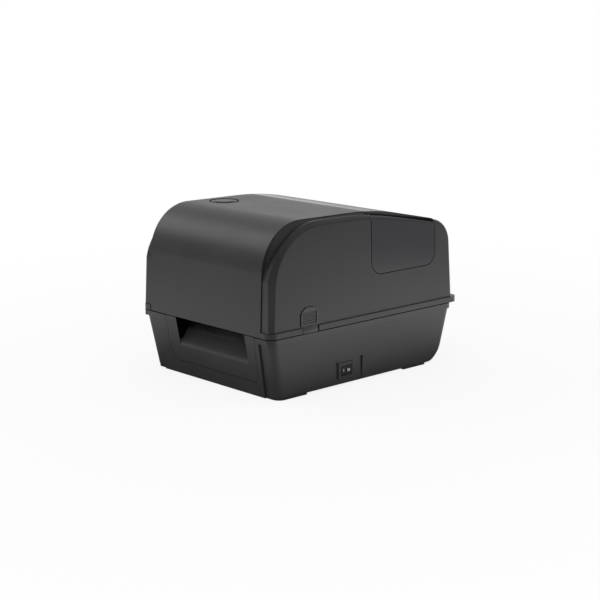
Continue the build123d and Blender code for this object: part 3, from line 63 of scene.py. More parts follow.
# Lamps: name, azimuth, elevation, distance, size, watts, and whether reflections show them
OBJECT_MIDDLE = Vector((0.0, 0.0, 0.09))
LAMPS = [
    ("front_left", -65.0, 38.0, 1.6, 0.8, 2.8, True),
    ("overhead", 30.0, 80.0, 1.6, 1.2, 3.0, False),
    ("rear_right", 150.0, 35.0, 1.8, 0.9, 1.5, False),
]

# Room and floor: the azimuth of the dim side, distances in metres, and levels where 1 is white
WHITE = (1.0, 1.0, 1.0, 1.0)
DIM_SIDE = 46.96
AMBIENT = 0.8
FLOOR_HALF = 6.0
FLOOR_COLOUR = 0.85
FLOOR_WHITE = (0.86, 1.0)
FLOOR_WHITE_REACH = (0.2, 0.7)
# The floor's glow in reflections, a painted pool of light: its level, brighter to the right and dimmer on
# the dim side
POOL_LEVEL = 1.06
POOL_RIGHT = 1.7
POOL_RIGHT_REACH = (-0.2, 0.25)
POOL_DIM = 0.2
POOL_DIM_REACH = (0.18, 0.34)
POOL_REACH = 1.0
# Reflected levels: the room from its bright side (0) to its dim side (1), and the floor's painted pool of
# light by distance, dark close to the object as painted shade
ROOM_LEVELS = [(0.0, 0.8), (0.1, 0.62), (0.25, 0.55), (0.46, 0.32), (1.0, 0.06)]
POOL_LEVELS = [(0.0, 0.1), (0.09, 0.5), (0.17, 0.9), (0.38, 1.0), (0.6, 0.5), (0.85, 0.25)]

# The CAD's own sizes that the scene's pieces follow, in millimetres
MM = 0.001
FRONT_Y = -144.0
PART_Z = 67.0
LID_Z = 67.3
FRONT_SLOPE = 14.0 / PART_Z
RIM_PROUD = 2.0
BODY_HALF = 105.0
SIDE_DRAFT = 0.05
BAND_HALF = 91.5
BAND_CORNERS = [(-144.1, 47.0), (-140.0, 184.0), (20.0, 183.0), (130.6, 160.0), (136.5, 47.0)]
BAND_RADII = [52.0, 350.0, 28.0]
CHEEK_CORNERS = [(-141.6, 47.0), (-134.0, 181.5), (10.0, 180.0), (130.6, 160.0), (136.5, 47.0)]
CHEEK_RADII = [67.0, 300.0, 28.0]
EDGE_CENTRE = (100.2, -4.8)
EDGE_RADIUS = 4.8
SIDE_TOP_HALF = 105.0
SIDE_TOP_Z = 73.5
SIDE_LEAN = 0.03
WINDOW_Y = (5.0, 106.0)
WINDOW_LOW = 114.5
WINDOW_CORNER = 15.0
BUTTON_PLACE = (-65.0, -58.0)
RING_RADIUS = 16.5
LATCH_Y = (-100.0, -76.0)
ROCKER_PIVOT = (99.0, -30.5, 16.25)
ROCKER_REST = -10.0
ROCKER_WAIST = 2.2
ROCKER_END = 3.6
ROCKER_HALF = 8.5

# How far thin dark pieces stand proud of the solids, and how far they reach in
PROUD = 0.03
SUNK = 0.1
# Points along the side outlines of the lid, and the angle above which an edge is sharp
ARC_STEPS = 40
STATION_STEP = 1.5
SHARP_ANGLE = 30.0

# The lid's edge: a strip beside the band that stands nearly flush in front and leaves a hollow over the arc
EDGE_LOW = 0.2
STRIP_STEP = 1.0
STRIP_OUTER = 101.8
STRIP_FRONT_INNER = 92.6
STRIP_ARC_INNER = 99.3
STRIP_PROUD = 0.06
VALLEY_INNER = (92.3, 98.6)
VALLEY_RISE = -3.2
STRIP_ARC_RISE = 1.0
STRIP_MOST = 4.0
STRIP_END_Y = 3.5
STRIP_FADE_Y = -30.0
STRIP_ARC = (10.0, 50.0)
BAND_CLEAR = (0.5, 0.1)
HOLLOW_DEPTH = 3.4
FOOT_DEPTH = 3.8

# The window's joint, and the black line of painted shade on its upper edge, which turns from low to high,
# in degrees
JOINT_TOPS = (174.0, 157.0)
JOINT_HALF = 0.4
JOINT_STEPS = 12
LINE_SHORT = 0.5
LINE_LOW = (62.0, 28.0)
LINE_HIGH = 92.0
LINE_PROUD = 0.05
LINE_STEPS = 4

# The parting line: heights of the black slices painted as shade on the edges of the base and of the lid
BASE_SHADE_Z = (PART_Z - 0.25, PART_Z + 0.01)
LID_SHADE_Z = (LID_Z - 0.01, LID_Z + 0.4)

# The button's ring: points of its black rim, painted shade of the groove round the button, as distance from
# the ring's radius and height over its face
RING_TOP = 183.49
RING_STEPS = 96
RING_SECTION = [(-0.1, -0.2), (-0.1, 0.3), (-0.3, 0.45), (-1.1, 0.45), (-1.4, 0.3), (-1.4, -0.2)]

# The foot of a latch tab: its rounded top, the tab's leaning face, and how far it bulges out
LIP_BOTTOM = LID_Z + 0.1
LIP_TOP = 73.6
LIP_ARCH = 1.8
LIP_INNER = 103.2
LIP_OUTER = 106.9
LIP_ENDS = 0.55
TAB_PLACE = (106.0, 76.0)
TAB_LEAN = 2.5 / 9.0
LIP_ACROSS = 12
LIP_DOWN = 6

# The label slot's side walls: an outline (y, z), the places of the walls, and their thickness
SLOT_SIDE = [(-143.6, 66.6), (-138.7, 42.2), (-135.0, 42.6), (-121.8, 58.6), (-121.8, 66.6)]
SLOT_X = (-46.5, 66.5)
SLOT_THICK = 0.12

# The pads under the base
PAD_Z = (0.3, 2.05)
PAD_INNER = 83.0
PAD_STEP = 2.0
PAD_CORNER = 9.0
PAD_CORNER_STEPS = 8
FRONT_PAD_REAR = -88.0
REAR_PAD_Y = (59.6, 94.9)
REAR_PAD_BEVEL = 1.0

# The signs on the rocker: the bar's outline, and the ring's place and radii
MARK_RISE = (-0.05, 0.04)
BAR_MARK = [(-3.1, -1.5), (-2.5, -1.5), (-2.5, 1.5), (-3.1, 1.5)]
RING_MARK_PLACE = 3.6
RING_MARK_RADII = (1.5, 0.95)
RING_MARK_STEPS = 32

# Finishes: scales in turns per metre, steps of roughness, and reliefs in metres
BLOTCH_SCALE = 22.0
BLOTCH_GLOSS = 0.03
GRAIN_SCALE = 1800.0
GRAIN_GLOSS = 0.04
GRAIN_DEPTH = 0.00004
MATT_STEP = 0.45
MATT_START = (FRONT_Y + PART_Z * FRONT_SLOPE + 0.3) * MM
WINDOW_COLOUR = (0.02, 0.02, 0.024)
WINDOW_ROUGH = (0.14, 0.2)
RIPPLE_SCALE = 14.0
RIPPLE_DEPTH = 0.0002
RIPPLE_STRENGTH = 0.4


def node_tree(owner):
    """The emptied node tree of a material or the world."""
    owner.use_nodes = True
    tree = owner.node_tree
    tree.nodes.clear()
    return tree


def add_node(tree, kind, **inputs):
    """A new node with some of its input sockets set."""
    node = tree.nodes.new(kind)
    for name, value in inputs.items():
        node.inputs[name.replace("_", " ")].default_value = value
    return node


def surface(material, base, metallic=0.0, specular=0.5):
    """A Principled shader joined to the output. Uniform values are set on its own sockets."""
    tree = node_tree(material)
    out = tree.nodes.new("ShaderNodeOutputMaterial")
    shader = tree.nodes.new("ShaderNodeBsdfPrincipled")
    shader.inputs["Base Color"].default_value = (*base, 1.0)
    shader.inputs["Metallic"].default_value = metallic
    shader.inputs["Specular IOR Level"].default_value = specular
    tree.links.new(shader.outputs["BSDF"], out.inputs["Surface"])
    return tree, shader


def noise(tree, coords, scale, detail, stretch=(1, 1, 1)):
    """Noise over the object's own coordinates, in turns per metre."""
    mapping = add_node(tree, "ShaderNodeMapping")
    mapping.inputs["Scale"].default_value = stretch
    tree.links.new(coords, mapping.inputs["Vector"])
    texture = add_node(tree, "ShaderNodeTexNoise", Scale=scale, Detail=detail)
    tree.links.new(mapping.outputs["Vector"], texture.inputs["Vector"])
    return texture.outputs["Fac"]


def spread(tree, value, low, high, from_low=0.3, from_high=0.7):
    """A value carried from one range to another."""
    node = add_node(tree, "ShaderNodeMapRange")
    node.inputs["From Min"].default_value = from_low
    node.inputs["From Max"].default_value = from_high
    node.inputs["To Min"].default_value = low
    node.inputs["To Max"].default_value = high
    tree.links.new(value, node.inputs["Value"])
    return node.outputs["Result"]


def math_node(tree, operation, *values):
    """The result of a Math node. Sockets are linked, and numbers are set."""
    node = tree.nodes.new("ShaderNodeMath")
    node.operation = operation
    for socket, value in zip(node.inputs, values):
        if isinstance(value, (int, float)):
            socket.default_value = value
        else:
            tree.links.new(value, socket)
    return node.outputs["Value"]


def along(tree, place, direction, near, far, level_near, level_far):
    """A level that changes between two distances along a direction."""
    dot = tree.nodes.new("ShaderNodeVectorMath")
    dot.operation = "DOT_PRODUCT"
    dot.inputs[1].default_value = direction
    tree.links.new(place, dot.inputs[0])
    return spread(tree, dot.outputs["Value"], level_near, level_far, near, far)


def tint(tree, factor, dark, light):
    """A colour between two, by a factor."""
    node = tree.nodes.new("ShaderNodeMix")
    node.data_type = "RGBA"
    node.inputs["A"].default_value = (*dark, 1.0)
    node.inputs["B"].default_value = (*light, 1.0)
    tree.links.new(factor, node.inputs["Factor"])
    return node.outputs["Result"]


def relief(tree, shader, height, strength, depth):
    """A bump on the shader's normal."""
    bump = add_node(tree, "ShaderNodeBump", Strength=strength, Distance=depth)
    tree.links.new(height, bump.inputs["Height"])
    tree.links.new(bump.outputs["Normal"], shader.inputs["Normal"])


def moulded(name, colour, rough=0.45, grain=GRAIN_SCALE, depth=GRAIN_DEPTH, vary=0.12,
            metallic=0.0, specular=0.5, stretch=(1, 1, 1), matt_depth=0.0):
    """Moulded or finished stock: a fine grain in relief, soft blotches in colour and in gloss."""
    material = bpy.data.materials.new(name)
    tree, shader = surface(material, colour, metallic, specular)
    coords = tree.nodes.new("ShaderNodeTexCoord").outputs["Object"]
    blotch = noise(tree, coords, BLOTCH_SCALE, 4.0)
    fine = noise(tree, coords, grain, 2.0, stretch)
    dark = tuple(c * (1 - vary) for c in colour)
    light = tuple(min(1.0, c * (1 + vary)) for c in colour)
    tree.links.new(tint(tree, spread(tree, blotch, 0.0, 1.0), dark, light), shader.inputs["Base Color"])
    broad_gloss = spread(tree, blotch, rough - BLOTCH_GLOSS, rough + BLOTCH_GLOSS)
    finish = math_node(tree, "ADD", broad_gloss, spread(tree, fine, -GRAIN_GLOSS, GRAIN_GLOSS))
    if matt_depth:
        # As moulded, without the fine finish, where the surface lies behind the sloping front
        span = (MATT_START, MATT_START + matt_depth)
        behind = along(tree, coords, (0, 1, FRONT_SLOPE), *span, 0.0, MATT_STEP)
        finish = math_node(tree, "ADD", finish, behind)
    tree.links.new(finish, shader.inputs["Roughness"])
    relief(tree, shader, fine, 1.0, depth)
    return material


def smoked(name):
    """Glossy smoked acrylic. It is opaque here and looks black, as it does in the photograph."""
    material = bpy.data.materials.new(name)
    tree, shader = surface(material, WINDOW_COLOUR, specular=0.8)
    coords = tree.nodes.new("ShaderNodeTexCoord").outputs["Object"]
    ripple = noise(tree, coords, RIPPLE_SCALE, 1.0)
    tree.links.new(spread(tree, ripple, *WINDOW_ROUGH), shader.inputs["Roughness"])
    relief(tree, shader, ripple, RIPPLE_STRENGTH, RIPPLE_DEPTH)
    return material


CASE_COLOUR = (0.0235, 0.0235, 0.0245)
FINISHES = {
    "case": moulded("case_plastic", CASE_COLOUR, rough=0.36, specular=0.65),
    "lid": moulded("lid_plastic", (0.0245, 0.0240, 0.0240), rough=0.39, specular=0.62),
    "window": smoked("smoked_window"),
    "trim": moulded("trim_plastic", (0.030, 0.030, 0.032), rough=0.35),
    "rubber": moulded(
        "black_rubber", (0.018, 0.018, 0.018), rough=0.8, grain=900.0, depth=0.00008, specular=0.3
    ),
    "deck": moulded("deck_plastic", (0.085, 0.085, 0.09), rough=0.5),
    "steel": moulded(
        "plated_steel", (0.62, 0.62, 0.61), rough=0.32, metallic=1.0, vary=0.06, stretch=(1, 12, 1)
    ),
    "gear": moulded("acetal", (0.78, 0.76, 0.70), rough=0.4, vary=0.04),
    "carriage": moulded("carriage_plastic", (0.05, 0.05, 0.052), rough=0.5),
    "lever": moulded("lever_plastic", (0.03, 0.22, 0.12), rough=0.4),
    "motor": moulded("motor_black", (0.02, 0.02, 0.021), rough=0.45, metallic=0.3),
    "sink": moulded(
        "anodised", (0.72, 0.72, 0.73), rough=0.38, metallic=1.0, vary=0.05, stretch=(14, 1, 1)
    ),
    "ceramic": moulded("glazed_ceramic", (0.72, 0.70, 0.62), rough=0.15, vary=0.03),
    "board": moulded("solder_resist", (0.01, 0.085, 0.035), rough=0.35, grain=700.0),
    "bezel": moulded("bezel_plastic", CASE_COLOUR, rough=0.36, specular=0.65, matt_depth=0.0015),
    "latch": moulded("latch_plastic", (0.033, 0.033, 0.037), rough=0.33, specular=0.65),
    "rocker": moulded(
        "rocker_plastic", (0.006, 0.006, 0.006), rough=0.3, grain=400.0, depth=0.00001, specular=0.4
    ),
    # Black for the dark joint round the window and for painted shade: the parting line, the window's upper
    # edge, the feed ring's groove and the label slot's side walls
    "joint_and_shade": moulded("black_of_joints_and_painted_shade", (0.0015, 0.0015, 0.0015), rough=0.9, specular=0.05),
    "mark": moulded("white_print", (0.78, 0.78, 0.76), rough=0.5, vary=0.03),
}

# Nodes whose finish differs from that of their material slot
NODE_FINISHES = {
    "front_bezel": "bezel",
    "power_rocker": "rocker",
    "latch_left": "latch",
    "latch_right": "latch",
    "dc_inlet": "trim",
    "media_sensor": "trim",
}


def dress_nodes():
    """Every CAD node takes the finish of its material slot, or its own where the slot holds several."""
    slots = {part["node"]: part["material_slot"] for part in frame["record"]["subparts"]}
    for name, obj in NODES.items():
        obj.data.materials.clear()
        obj.data.materials.append(FINISHES[NODE_FINISHES.get(name, slots[name])])


def settle(name, mesh, finish, body):
    """A finished mesh becomes a piece that rides on its body."""
    mesh.set_sharp_from_angle(angle=radians(SHARP_ANGLE))
    mesh.materials.append(FINISHES[finish])
    obj = bpy.data.objects.new(name, mesh)
    bpy.context.collection.objects.link(obj)
    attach(obj, body)


def build(name, verts, faces, finish, body):
    """A piece from points in millimetres and faces, with its normals turned outwards."""
    mesh = bpy.data.meshes.new(name)
    form = bmesh.new()
    made = [form.verts.new(Vector(v) * MM) for v in verts]
    for face in faces:
        form.faces.new([made[k] for k in face])
    bmesh.ops.recalc_face_normals(form, faces=form.faces)
    for face in form.faces:
        face.smooth = True
    form.to_mesh(mesh)
    form.free()
    settle(name, mesh, finish, body)


def swept(name, sections, finish, body, closed=False):
    """A piece skinned through sections that have the same number of points."""
    count = len(sections[0])
    verts = [point for section in sections for point in section]
    faces = []
    last = len(sections) if closed else len(sections) - 1
    for i in range(last):
        a = i * count
        b = (i + 1) % len(sections) * count
        for k in range(count):
            on = (k + 1) % count
            faces.append((a + k, a + on, b + on, b + k))
    if not closed:
        faces.append(tuple(range(count)))
        faces.append(tuple(range((len(sections) - 1) * count, len(sections) * count)))
    build(name, verts, faces, finish, body)


def rounded(corners, radii, steps=ARC_STEPS):
    """Points along straight runs whose corners are rounded."""
    points = [Vector(corners[0])]
    for before, corner, after, radius in zip(corners, corners[1:], corners[2:], radii):
        corner = Vector(corner)
        back = (Vector(before) - corner).normalized()
        on = (Vector(after) - corner).normalized()
        half = back.angle(on) / 2
        centre = corner + (back + on).normalized() * (radius / sin(half))
        start = corner + back * (radius / tan(half)) - centre
        end = corner + on * (radius / tan(half)) - centre
        first = atan2(start.y, start.x)
        turn = (atan2(end.y, end.x) - first + pi) % (2 * pi) - pi
        for k in range(steps + 1):
            a = first + turn * k / steps
            points.append(centre + Vector((cos(a), sin(a))) * radius)
    points.append(Vector(corners[-1]))
    return points


def stations(corners, radii):
    """Evenly spaced points (y, z) along a side outline of the lid, each with its outward normal."""
    line = rounded(corners, radii)
    places = []
    left = 0.0
    for a, b in zip(line, line[1:]):
        length = (b - a).length
        while length > left:
            places.append(a + (b - a) * (left / length))
            left += STATION_STEP
        left -= length
    found = []
    for before, place, after in zip(places, places[1:], places[2:]):
        run = (after - before).normalized()
        found.append((place, Vector((-run.y, run.x))))
    return found


def ease(value, low, high):
    """0 below low, 1 above high, and a smooth rise between."""
    share = min(1.0, max(0.0, (value - low) / (high - low)))
    return share * share * (3 - 2 * share)


def blend(full, none, share):
    """A measure between its value at a full share, 1, and its value at none, 0."""
    return full * share + none * (1 - share)


def line_distance(point, line):
    """The least distance from a point to a line of points."""
    least = []
    for a, b in zip(line, line[1:]):
        run = b - a
        share = min(1.0, max(0.0, (point - a).dot(run) / run.length_squared)) if run.length else 0.0
        least.append((point - a - run * share).length)
    return min(least)


def edge_lean(place, normal):
    """How far the lid's leaning side has moved out at the foot of its rounded edge."""
    return (SIDE_TOP_Z - place.y - normal.y * EDGE_CENTRE[1]) * SIDE_LEAN


def edge_point(lean, reach, angle):
    """A point (x, h) about the centre of the lid's rounded edge."""
    return (EDGE_CENTRE[0] + lean + reach * cos(angle), EDGE_CENTRE[1] + reach * sin(angle))


def across_edge(side, place, normal, outline):
    """An outline of points (x, h) at a station: x to the side, h along the outward normal."""
    return [(side * x, place.x + normal.x * h, place.y + normal.y * h) for x, h in outline]


def edge_outline(place, normal, band):
    """The outline of the lid's edge at a station. It is flush (1) in front and hollow (0) over the arc."""
    flush = 1 - ease(degrees(atan2(normal.y, -normal.x)), *STRIP_ARC)
    fade = 1 - ease(place.x, STRIP_FADE_Y, STRIP_END_Y)
    lean = edge_lean(place, normal)
    band_rise = line_distance(place, band) - STRIP_STEP
    rise = blend(min(band_rise, STRIP_MOST), STRIP_ARC_RISE * fade, flush)
    band_side = BAND_HALF + blend(*BAND_CLEAR, flush)
    across = STRIP_OUTER - EDGE_CENTRE[0]
    over = rise - EDGE_CENTRE[1]
    reach = EDGE_RADIUS + STRIP_PROUD
    touch = atan2(over, across) - acos(min(1.0, reach / hypot(across, over)))
    return [
        (band_side, -HOLLOW_DEPTH),
        (band_side, blend(rise, band_rise, flush)),
        (blend(VALLEY_INNER[0], VALLEY_INNER[1] + lean, flush), blend(rise, VALLEY_RISE, flush)),
        (blend(STRIP_FRONT_INNER, STRIP_ARC_INNER + lean, flush), rise),
        (STRIP_OUTER + lean, rise),
        edge_point(lean, reach, touch),
        (EDGE_CENTRE[0] + lean, -FOOT_DEPTH),
    ]


def lid_edge(side, name):
    """The strip and bevel along a lid edge, from the parting line up over the arc to the window."""
    band = rounded(BAND_CORNERS, BAND_RADII)
    sections = []
    for place, normal in stations(CHEEK_CORNERS, CHEEK_RADII):
        if place.y >= LID_Z + EDGE_LOW and place.x <= STRIP_END_Y:
            sections.append(across_edge(side, place, normal, edge_outline(place, normal, band)))
    swept(name, sections, "lid", "lid")


def window_shade_line(side, name):
    """Painted shade: the black line on the window's upper edge, which widens towards the rear."""
    high = radians(LINE_HIGH)
    sections = []
    for place, normal in stations(CHEEK_CORNERS, CHEEK_RADII):
        if place.x < WINDOW_Y[0] + LINE_SHORT or place.x > WINDOW_Y[1] - LINE_SHORT or place.y < WINDOW_LOW:
            continue
        share = (place.x - WINDOW_Y[0]) / (WINDOW_Y[1] - WINDOW_Y[0])
        low = radians(LINE_LOW[0] + (LINE_LOW[1] - LINE_LOW[0]) * share)
        lean = edge_lean(place, normal)
        angles = [low + (high - low) * k / LINE_STEPS for k in range(LINE_STEPS + 1)]
        outline = [edge_point(lean, EDGE_RADIUS + LINE_PROUD, a) for a in angles]
        outline += [edge_point(lean, EDGE_RADIUS - SUNK, a) for a in reversed(angles)]
        sections.append(across_edge(side, place, normal, outline))
    swept(name, sections, "joint_and_shade", "lid")


def window_line(side, name):
    """The dark joint round the window, on the leaning side."""
    corners = [
        (WINDOW_Y[0], JOINT_TOPS[0]),
        (WINDOW_Y[0], WINDOW_LOW),
        (WINDOW_Y[1], WINDOW_LOW),
        (WINDOW_Y[1], JOINT_TOPS[1]),
    ]
    line = rounded(corners, [WINDOW_CORNER, WINDOW_CORNER], JOINT_STEPS)
    sections = []
    for k, place in enumerate(line):
        before = line[max(0, k - 1)]
        after = line[min(len(line) - 1, k + 1)]
        run = (after - before).normalized()
        across = Vector((-run.y, run.x)) * JOINT_HALF
        face = SIDE_TOP_HALF - (place.y - SIDE_TOP_Z) * SIDE_LEAN
        a = place + across
        b = place - across
        sections.append([
            (side * (face + PROUD), a.x, a.y),
            (side * (face + PROUD), b.x, b.y),
            (side * (face - SUNK), b.x, b.y),
            (side * (face - SUNK), a.x, a.y),
        ])
    swept(name, sections, "joint_and_shade", "lid")


def parting_shade(node, heights, name, body):
    """Painted shade at the parting line: a thin black slice of a half of the case, a hair proud."""
    form = bmesh.new()
    form.from_mesh(NODES[node].data)
    for z, turn in zip(heights, (-1, 1)):
        cut = bmesh.ops.bisect_plane(
            form,
            geom=form.verts[:] + form.edges[:] + form.faces[:],
            plane_co=(0, 0, z * MM),
            plane_no=(0, 0, turn),
            clear_outer=True,
        )
        edges = [e for e in cut["geom_cut"] if isinstance(e, bmesh.types.BMEdge)]
        bmesh.ops.triangle_fill(form, edges=edges, use_beauty=True)
    bmesh.ops.recalc_face_normals(form, faces=form.faces)
    normals = [(v, v.normal.copy()) for v in form.verts]
    for v, normal in normals:
        v.co += normal * (PROUD * MM)
    mesh = bpy.data.meshes.new(name)
    form.to_mesh(mesh)
    form.free()
    settle(name, mesh, "joint_and_shade", body)


def ring_painted_shade():
    """A raised black rim on the feed button's ring, painted as the shade of the groove round the button."""
    sections = []
    for k in range(RING_STEPS):
        a = 2 * pi * k / RING_STEPS
        section = []
        for out, rise in RING_SECTION:
            x = BUTTON_PLACE[0] + (RING_RADIUS + out) * cos(a)
            y = BUTTON_PLACE[1] + (RING_RADIUS + out) * sin(a)
            section.append((x, y, RING_TOP + rise))
        sections.append(section)
    swept("feed_ring_painted_shade", sections, "joint_and_shade", "lid", closed=True)


def latch_lip(side, name, body):
    """The rounded foot of a latch tab, which reaches down to the parting line."""
    middle = (LATCH_Y[0] + LATCH_Y[1]) / 2
    half = (LATCH_Y[1] - LATCH_Y[0]) / 2
    sections = []
    for i in range(LIP_ACROSS + 1):
        u = 2 * i / LIP_ACROSS - 1
        y = middle + u * half
        top = LIP_TOP + LIP_ARCH * sqrt(max(0.0, 1 - u * u))
        tab = TAB_PLACE[0] - (TAB_PLACE[1] - top) * TAB_LEAN
        section = []
        for j in range(LIP_DOWN + 1):
            t = j / LIP_DOWN
            bulge = sin(pi / 2 * t) * (LIP_OUTER - tab) * blend(LIP_ENDS, 1.0, u * u)
            section.append((side * (tab + PROUD + bulge), y, top + (LIP_BOTTOM - top) * t))
        section.append((side * LIP_INNER, y, LIP_BOTTOM))
        section.append((side * LIP_INNER, y, top))
        sections.append(section)
    swept(name, sections, "latch", body)


def slot_side(side, x, name):
    """The dark side wall of the label slot, which stays in shadow beside the ramp."""
    depths = (PROUD, PROUD + SLOT_THICK)
    sections = [[(x - side * depth, y, z) for y, z in SLOT_SIDE] for depth in depths]
    swept(name, sections, "joint_and_shade", "base")


def base_side_x(z):
    """Half the width of the base's sloping side at height z."""
    return BODY_HALF - (PART_Z - z) * SIDE_DRAFT


def front_pad():
    """The front pad under the base, flush with its front and sides."""
    sections = []
    for z in PAD_Z:
        half = base_side_x(z)
        front = FRONT_Y + RIM_PROUD + (PART_Z - z) * FRONT_SLOPE
        right = [(PAD_INNER, front - PAD_STEP), (PAD_INNER, front)]
        for k in range(PAD_CORNER_STEPS + 1):
            a = pi / 2 * k / PAD_CORNER_STEPS
            right.append((half - PAD_CORNER * (1 - sin(a)), front + PAD_CORNER * (1 - cos(a))))
        right.append((half, FRONT_PAD_REAR))
        outline = right + [(-x, y) for x, y in reversed(right)]
        sections.append([(x, y, z) for x, y in outline])
    swept("front_pad", sections, "case", "base")


def rear_pad():
    """The rear pad under the base, flush with its sides."""
    front, rear = REAR_PAD_Y
    sections = []
    for z in PAD_Z:
        half = base_side_x(z)
        right = [(half, front), (half, rear - REAR_PAD_BEVEL), (half - REAR_PAD_BEVEL, rear)]
        outline = right + [(-x, y) for x, y in reversed(right)]
        sections.append([(x, y, z) for x, y in outline])
    swept("rear_pad", sections, "case", "base")


def on_rocker(t, z, rise):
    """A point over the rocker's hollow face: t along it from the pivot, z up, rise out of the face."""
    slope = (ROCKER_END - ROCKER_WAIST) / ROCKER_HALF
    out = hypot(1.0, slope)
    x = ROCKER_WAIST + abs(t) * slope + rise / out
    y = t - (slope if t > 0 else -slope) * rise / out
    turn = radians(ROCKER_REST)
    return (
        ROCKER_PIVOT[0] + x * cos(turn) - y * sin(turn),
        ROCKER_PIVOT[1] + x * sin(turn) + y * cos(turn),
        ROCKER_PIVOT[2] + z,
    )


def switch_marks():
    """The usual bar and ring that mark on and off, printed on the rocker."""
    low, high = MARK_RISE
    outer, inner = RING_MARK_RADII
    sections = [[on_rocker(t, z, rise) for t, z in BAR_MARK] for rise in MARK_RISE]
    swept("rocker_bar_mark", sections, "mark", "power_rocker")
    sections = []
    for k in range(RING_MARK_STEPS):
        a = 2 * pi * k / RING_MARK_STEPS
        section = []
        for radius, rise in ((outer, low), (outer, high), (inner, high), (inner, low)):
            section.append(on_rocker(RING_MARK_PLACE + radius * cos(a), radius * sin(a), rise))
        sections.append(section)
    swept("rocker_ring_mark", sections, "mark", "power_rocker", closed=True)


def dress_case():
    """The pieces that the photograph shows on the case and that the CAD nodes lack."""
    for side, word in ((-1, "left"), (1, "right")):
        lid_edge(side, f"lid_edge_{word}")
        window_shade_line(side, f"window_shade_line_{word}")
        window_line(side, f"window_line_{word}")
        latch_lip(side, f"latch_lip_{word}", f"latch_{word}")
    # Painted shade along the parting line of the base and of the lid
    parting_shade("base_housing", BASE_SHADE_Z, "parting_shade_base", "base")
    parting_shade("lid_shell", LID_SHADE_Z, "parting_shade_shell", "lid")
    parting_shade("lid_panel", LID_SHADE_Z, "parting_shade_panel", "lid")
    slot_side(-1, SLOT_X[0], "slot_side_left")
    slot_side(1, SLOT_X[1], "slot_side_right")
    ring_painted_shade()
    front_pad()
    rear_pad()
    switch_marks()


def bearing(azimuth, elevation):
    """The direction from the object to a place in the studio, in degrees. Azimuth 0 is the front."""
    a = radians(azimuth)
    e = radians(elevation)
    return Vector((sin(a) * cos(e), -cos(a) * cos(e), sin(e)))


def area_light(name, azimuth, elevation, distance, size, power, glossy):
    """A square softbox that looks at the object's middle."""
    data = bpy.data.lights.new(name, "AREA")
    data.shape = "SQUARE"
    data.size = size
    data.energy = power
    lamp = bpy.data.objects.new(name, data)
    towards = bearing(azimuth, elevation)
    lamp.location = OBJECT_MIDDLE + towards * distance
    lamp.rotation_euler = (-towards).to_track_quat("-Z", "Y").to_euler()
    lamp.visible_glossy = glossy
    bpy.context.collection.objects.link(lamp)


def ramp(tree, value, stops):
    """A grey ramp through stops of place and level."""
    node = tree.nodes.new("ShaderNodeValToRGB")
    colours = node.color_ramp
    colours.interpolation = "EASE"
    while len(colours.elements) < len(stops):
        colours.elements.new(0.5)
    for element, (place, level) in zip(colours.elements, stops):
        element.position = place
        element.color = (level, level, level, 1.0)
    tree.links.new(value, node.inputs["Fac"])
    return node.outputs["Color"]


def mixed(tree, factor, first, second):
    """Two shaders mixed by a factor: 0 gives the first, 1 the second."""
    node = tree.nodes.new("ShaderNodeMixShader")
    tree.links.new(factor, node.inputs[0])
    tree.links.new(first, node.inputs[1])
    tree.links.new(second, node.inputs[2])
    return node.outputs["Shader"]


def seen_plainly(tree, path):
    """1 for rays from the camera and for those that pass through something, or else 0."""
    return math_node(tree, "MAXIMUM", path.outputs["Is Camera Ray"], path.outputs["Is Transmission Ray"])


def surround():
    """White to the camera. Its reflection is bright behind the object and dim on the other side."""
    world = bpy.data.worlds.new("studio")
    bpy.context.scene.world = world
    tree = node_tree(world)
    out = tree.nodes.new("ShaderNodeOutputWorld")
    path = tree.nodes.new("ShaderNodeLightPath")
    direction = tree.nodes.new("ShaderNodeTexCoord").outputs["Generated"]
    turned = along(tree, direction, bearing(DIM_SIDE, 0), -1.0, 1.0, 0.0, 1.0)
    room = add_node(tree, "ShaderNodeBackground", Strength=1.0)
    tree.links.new(ramp(tree, turned, ROOM_LEVELS), room.inputs["Color"])
    ambient = add_node(tree, "ShaderNodeBackground", Strength=AMBIENT, Color=WHITE)
    white = add_node(tree, "ShaderNodeBackground", Strength=1.0, Color=WHITE)
    mirrored = path.outputs["Is Glossy Ray"]
    lit = mixed(tree, mirrored, ambient.outputs["Background"], room.outputs["Background"])
    seen = mixed(tree, seen_plainly(tree, path), lit, white.outputs["Background"])
    tree.links.new(seen, out.inputs["Surface"])


def floor_distance(tree, place):
    """How far a point of the floor is from the object's footprint, in metres."""
    parts = tree.nodes.new("ShaderNodeSeparateXYZ")
    tree.links.new(place, parts.inputs["Vector"])
    beyond = []
    for axis, half in zip(("X", "Y"), (cad_high[0], cad_high[1])):
        out = math_node(tree, "SUBTRACT", math_node(tree, "ABSOLUTE", parts.outputs[axis]), half)
        beyond.append(math_node(tree, "POWER", math_node(tree, "MAXIMUM", out, 0.0), 2.0))
    return math_node(tree, "SQRT", math_node(tree, "ADD", *beyond))


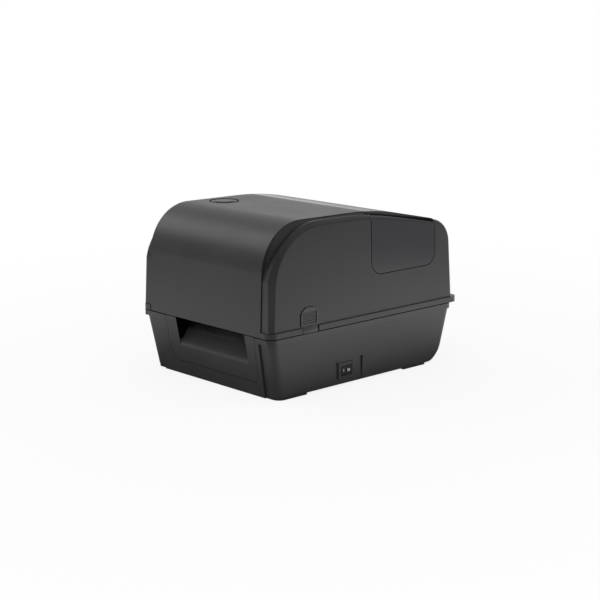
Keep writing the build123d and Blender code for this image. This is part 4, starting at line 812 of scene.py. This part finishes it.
def floor_material():
    """Near white to the camera with a faint shadow, and in reflections a painted pool of light that glows,
    with painted shade close to the object.
    """
    material = bpy.data.materials.new("floor_white_and_painted_pool")
    tree = node_tree(material)
    out = tree.nodes.new("ShaderNodeOutputMaterial")
    path = tree.nodes.new("ShaderNodeLightPath")
    matt = add_node(tree, "ShaderNodeBsdfDiffuse", Color=(FLOOR_COLOUR, FLOOR_COLOUR, FLOOR_COLOUR, 1.0))
    white = add_node(tree, "ShaderNodeEmission", Strength=1.0)
    place = tree.nodes.new("ShaderNodeTexCoord").outputs["Object"]
    # A painted pool of light, seen only in reflections: dark close to the object as painted shade, brighter
    # to the right and dimmer on the dim side
    reach = math_node(tree, "DIVIDE", floor_distance(tree, place), POOL_REACH)
    pool = tree.nodes.new("ShaderNodeEmission")
    tree.links.new(ramp(tree, reach, POOL_LEVELS), pool.inputs["Color"])
    right = along(tree, place, (1, 0, 0), *POOL_RIGHT_REACH, POOL_LEVEL, POOL_RIGHT)
    dim = along(tree, place, bearing(DIM_SIDE, 0), *POOL_DIM_REACH, 1.0, POOL_DIM)
    tree.links.new(math_node(tree, "MULTIPLY", right, dim), pool.inputs["Strength"])
    whiteness = spread(tree, reach, *FLOOR_WHITE, *FLOOR_WHITE_REACH)
    whitened = math_node(tree, "MULTIPLY", seen_plainly(tree, path), whiteness)
    seen = mixed(tree, whitened, matt.outputs["BSDF"], white.outputs["Emission"])
    mirrored = mixed(tree, path.outputs["Is Glossy Ray"], seen, pool.outputs["Emission"])
    tree.links.new(mirrored, out.inputs["Surface"])
    return material


def floor():
    """A pale floor under the object. It belongs to the studio."""
    half = FLOOR_HALF
    corners = [(-half, -half, 0), (half, -half, 0), (half, half, 0), (-half, half, 0)]
    mesh = bpy.data.meshes.new("floor")
    mesh.from_pydata(corners, [], [(0, 1, 2, 3)])
    mesh.materials.append(floor_material())
    obj = bpy.data.objects.new("floor", mesh)
    bpy.context.collection.objects.link(obj)


def studio():
    """The surround, the floor and soft lamps."""
    surround()
    floor()
    for lamp in LAMPS:
        area_light(*lamp)


def camera():
    """The camera at the photograph's angle."""
    back = bearing(CAMERA_AZIMUTH, CAMERA_ELEVATION)
    data = bpy.data.cameras.new("camera")
    data.lens = CAMERA_LENS
    data.sensor_width = SENSOR_WIDTH
    data.clip_start = CLIP_START
    data.clip_end = CLIP_END
    obj = bpy.data.objects.new("camera", data)
    obj.location = CAMERA_TARGET + back * CAMERA_DISTANCE
    obj.rotation_euler = (-back).to_track_quat("-Z", "Y").to_euler()
    bpy.context.collection.objects.link(obj)
    bpy.context.scene.camera = obj


camera()
studio()
dress_nodes()
dress_case()
bpy.context.scene.view_settings.view_transform = "Standard"
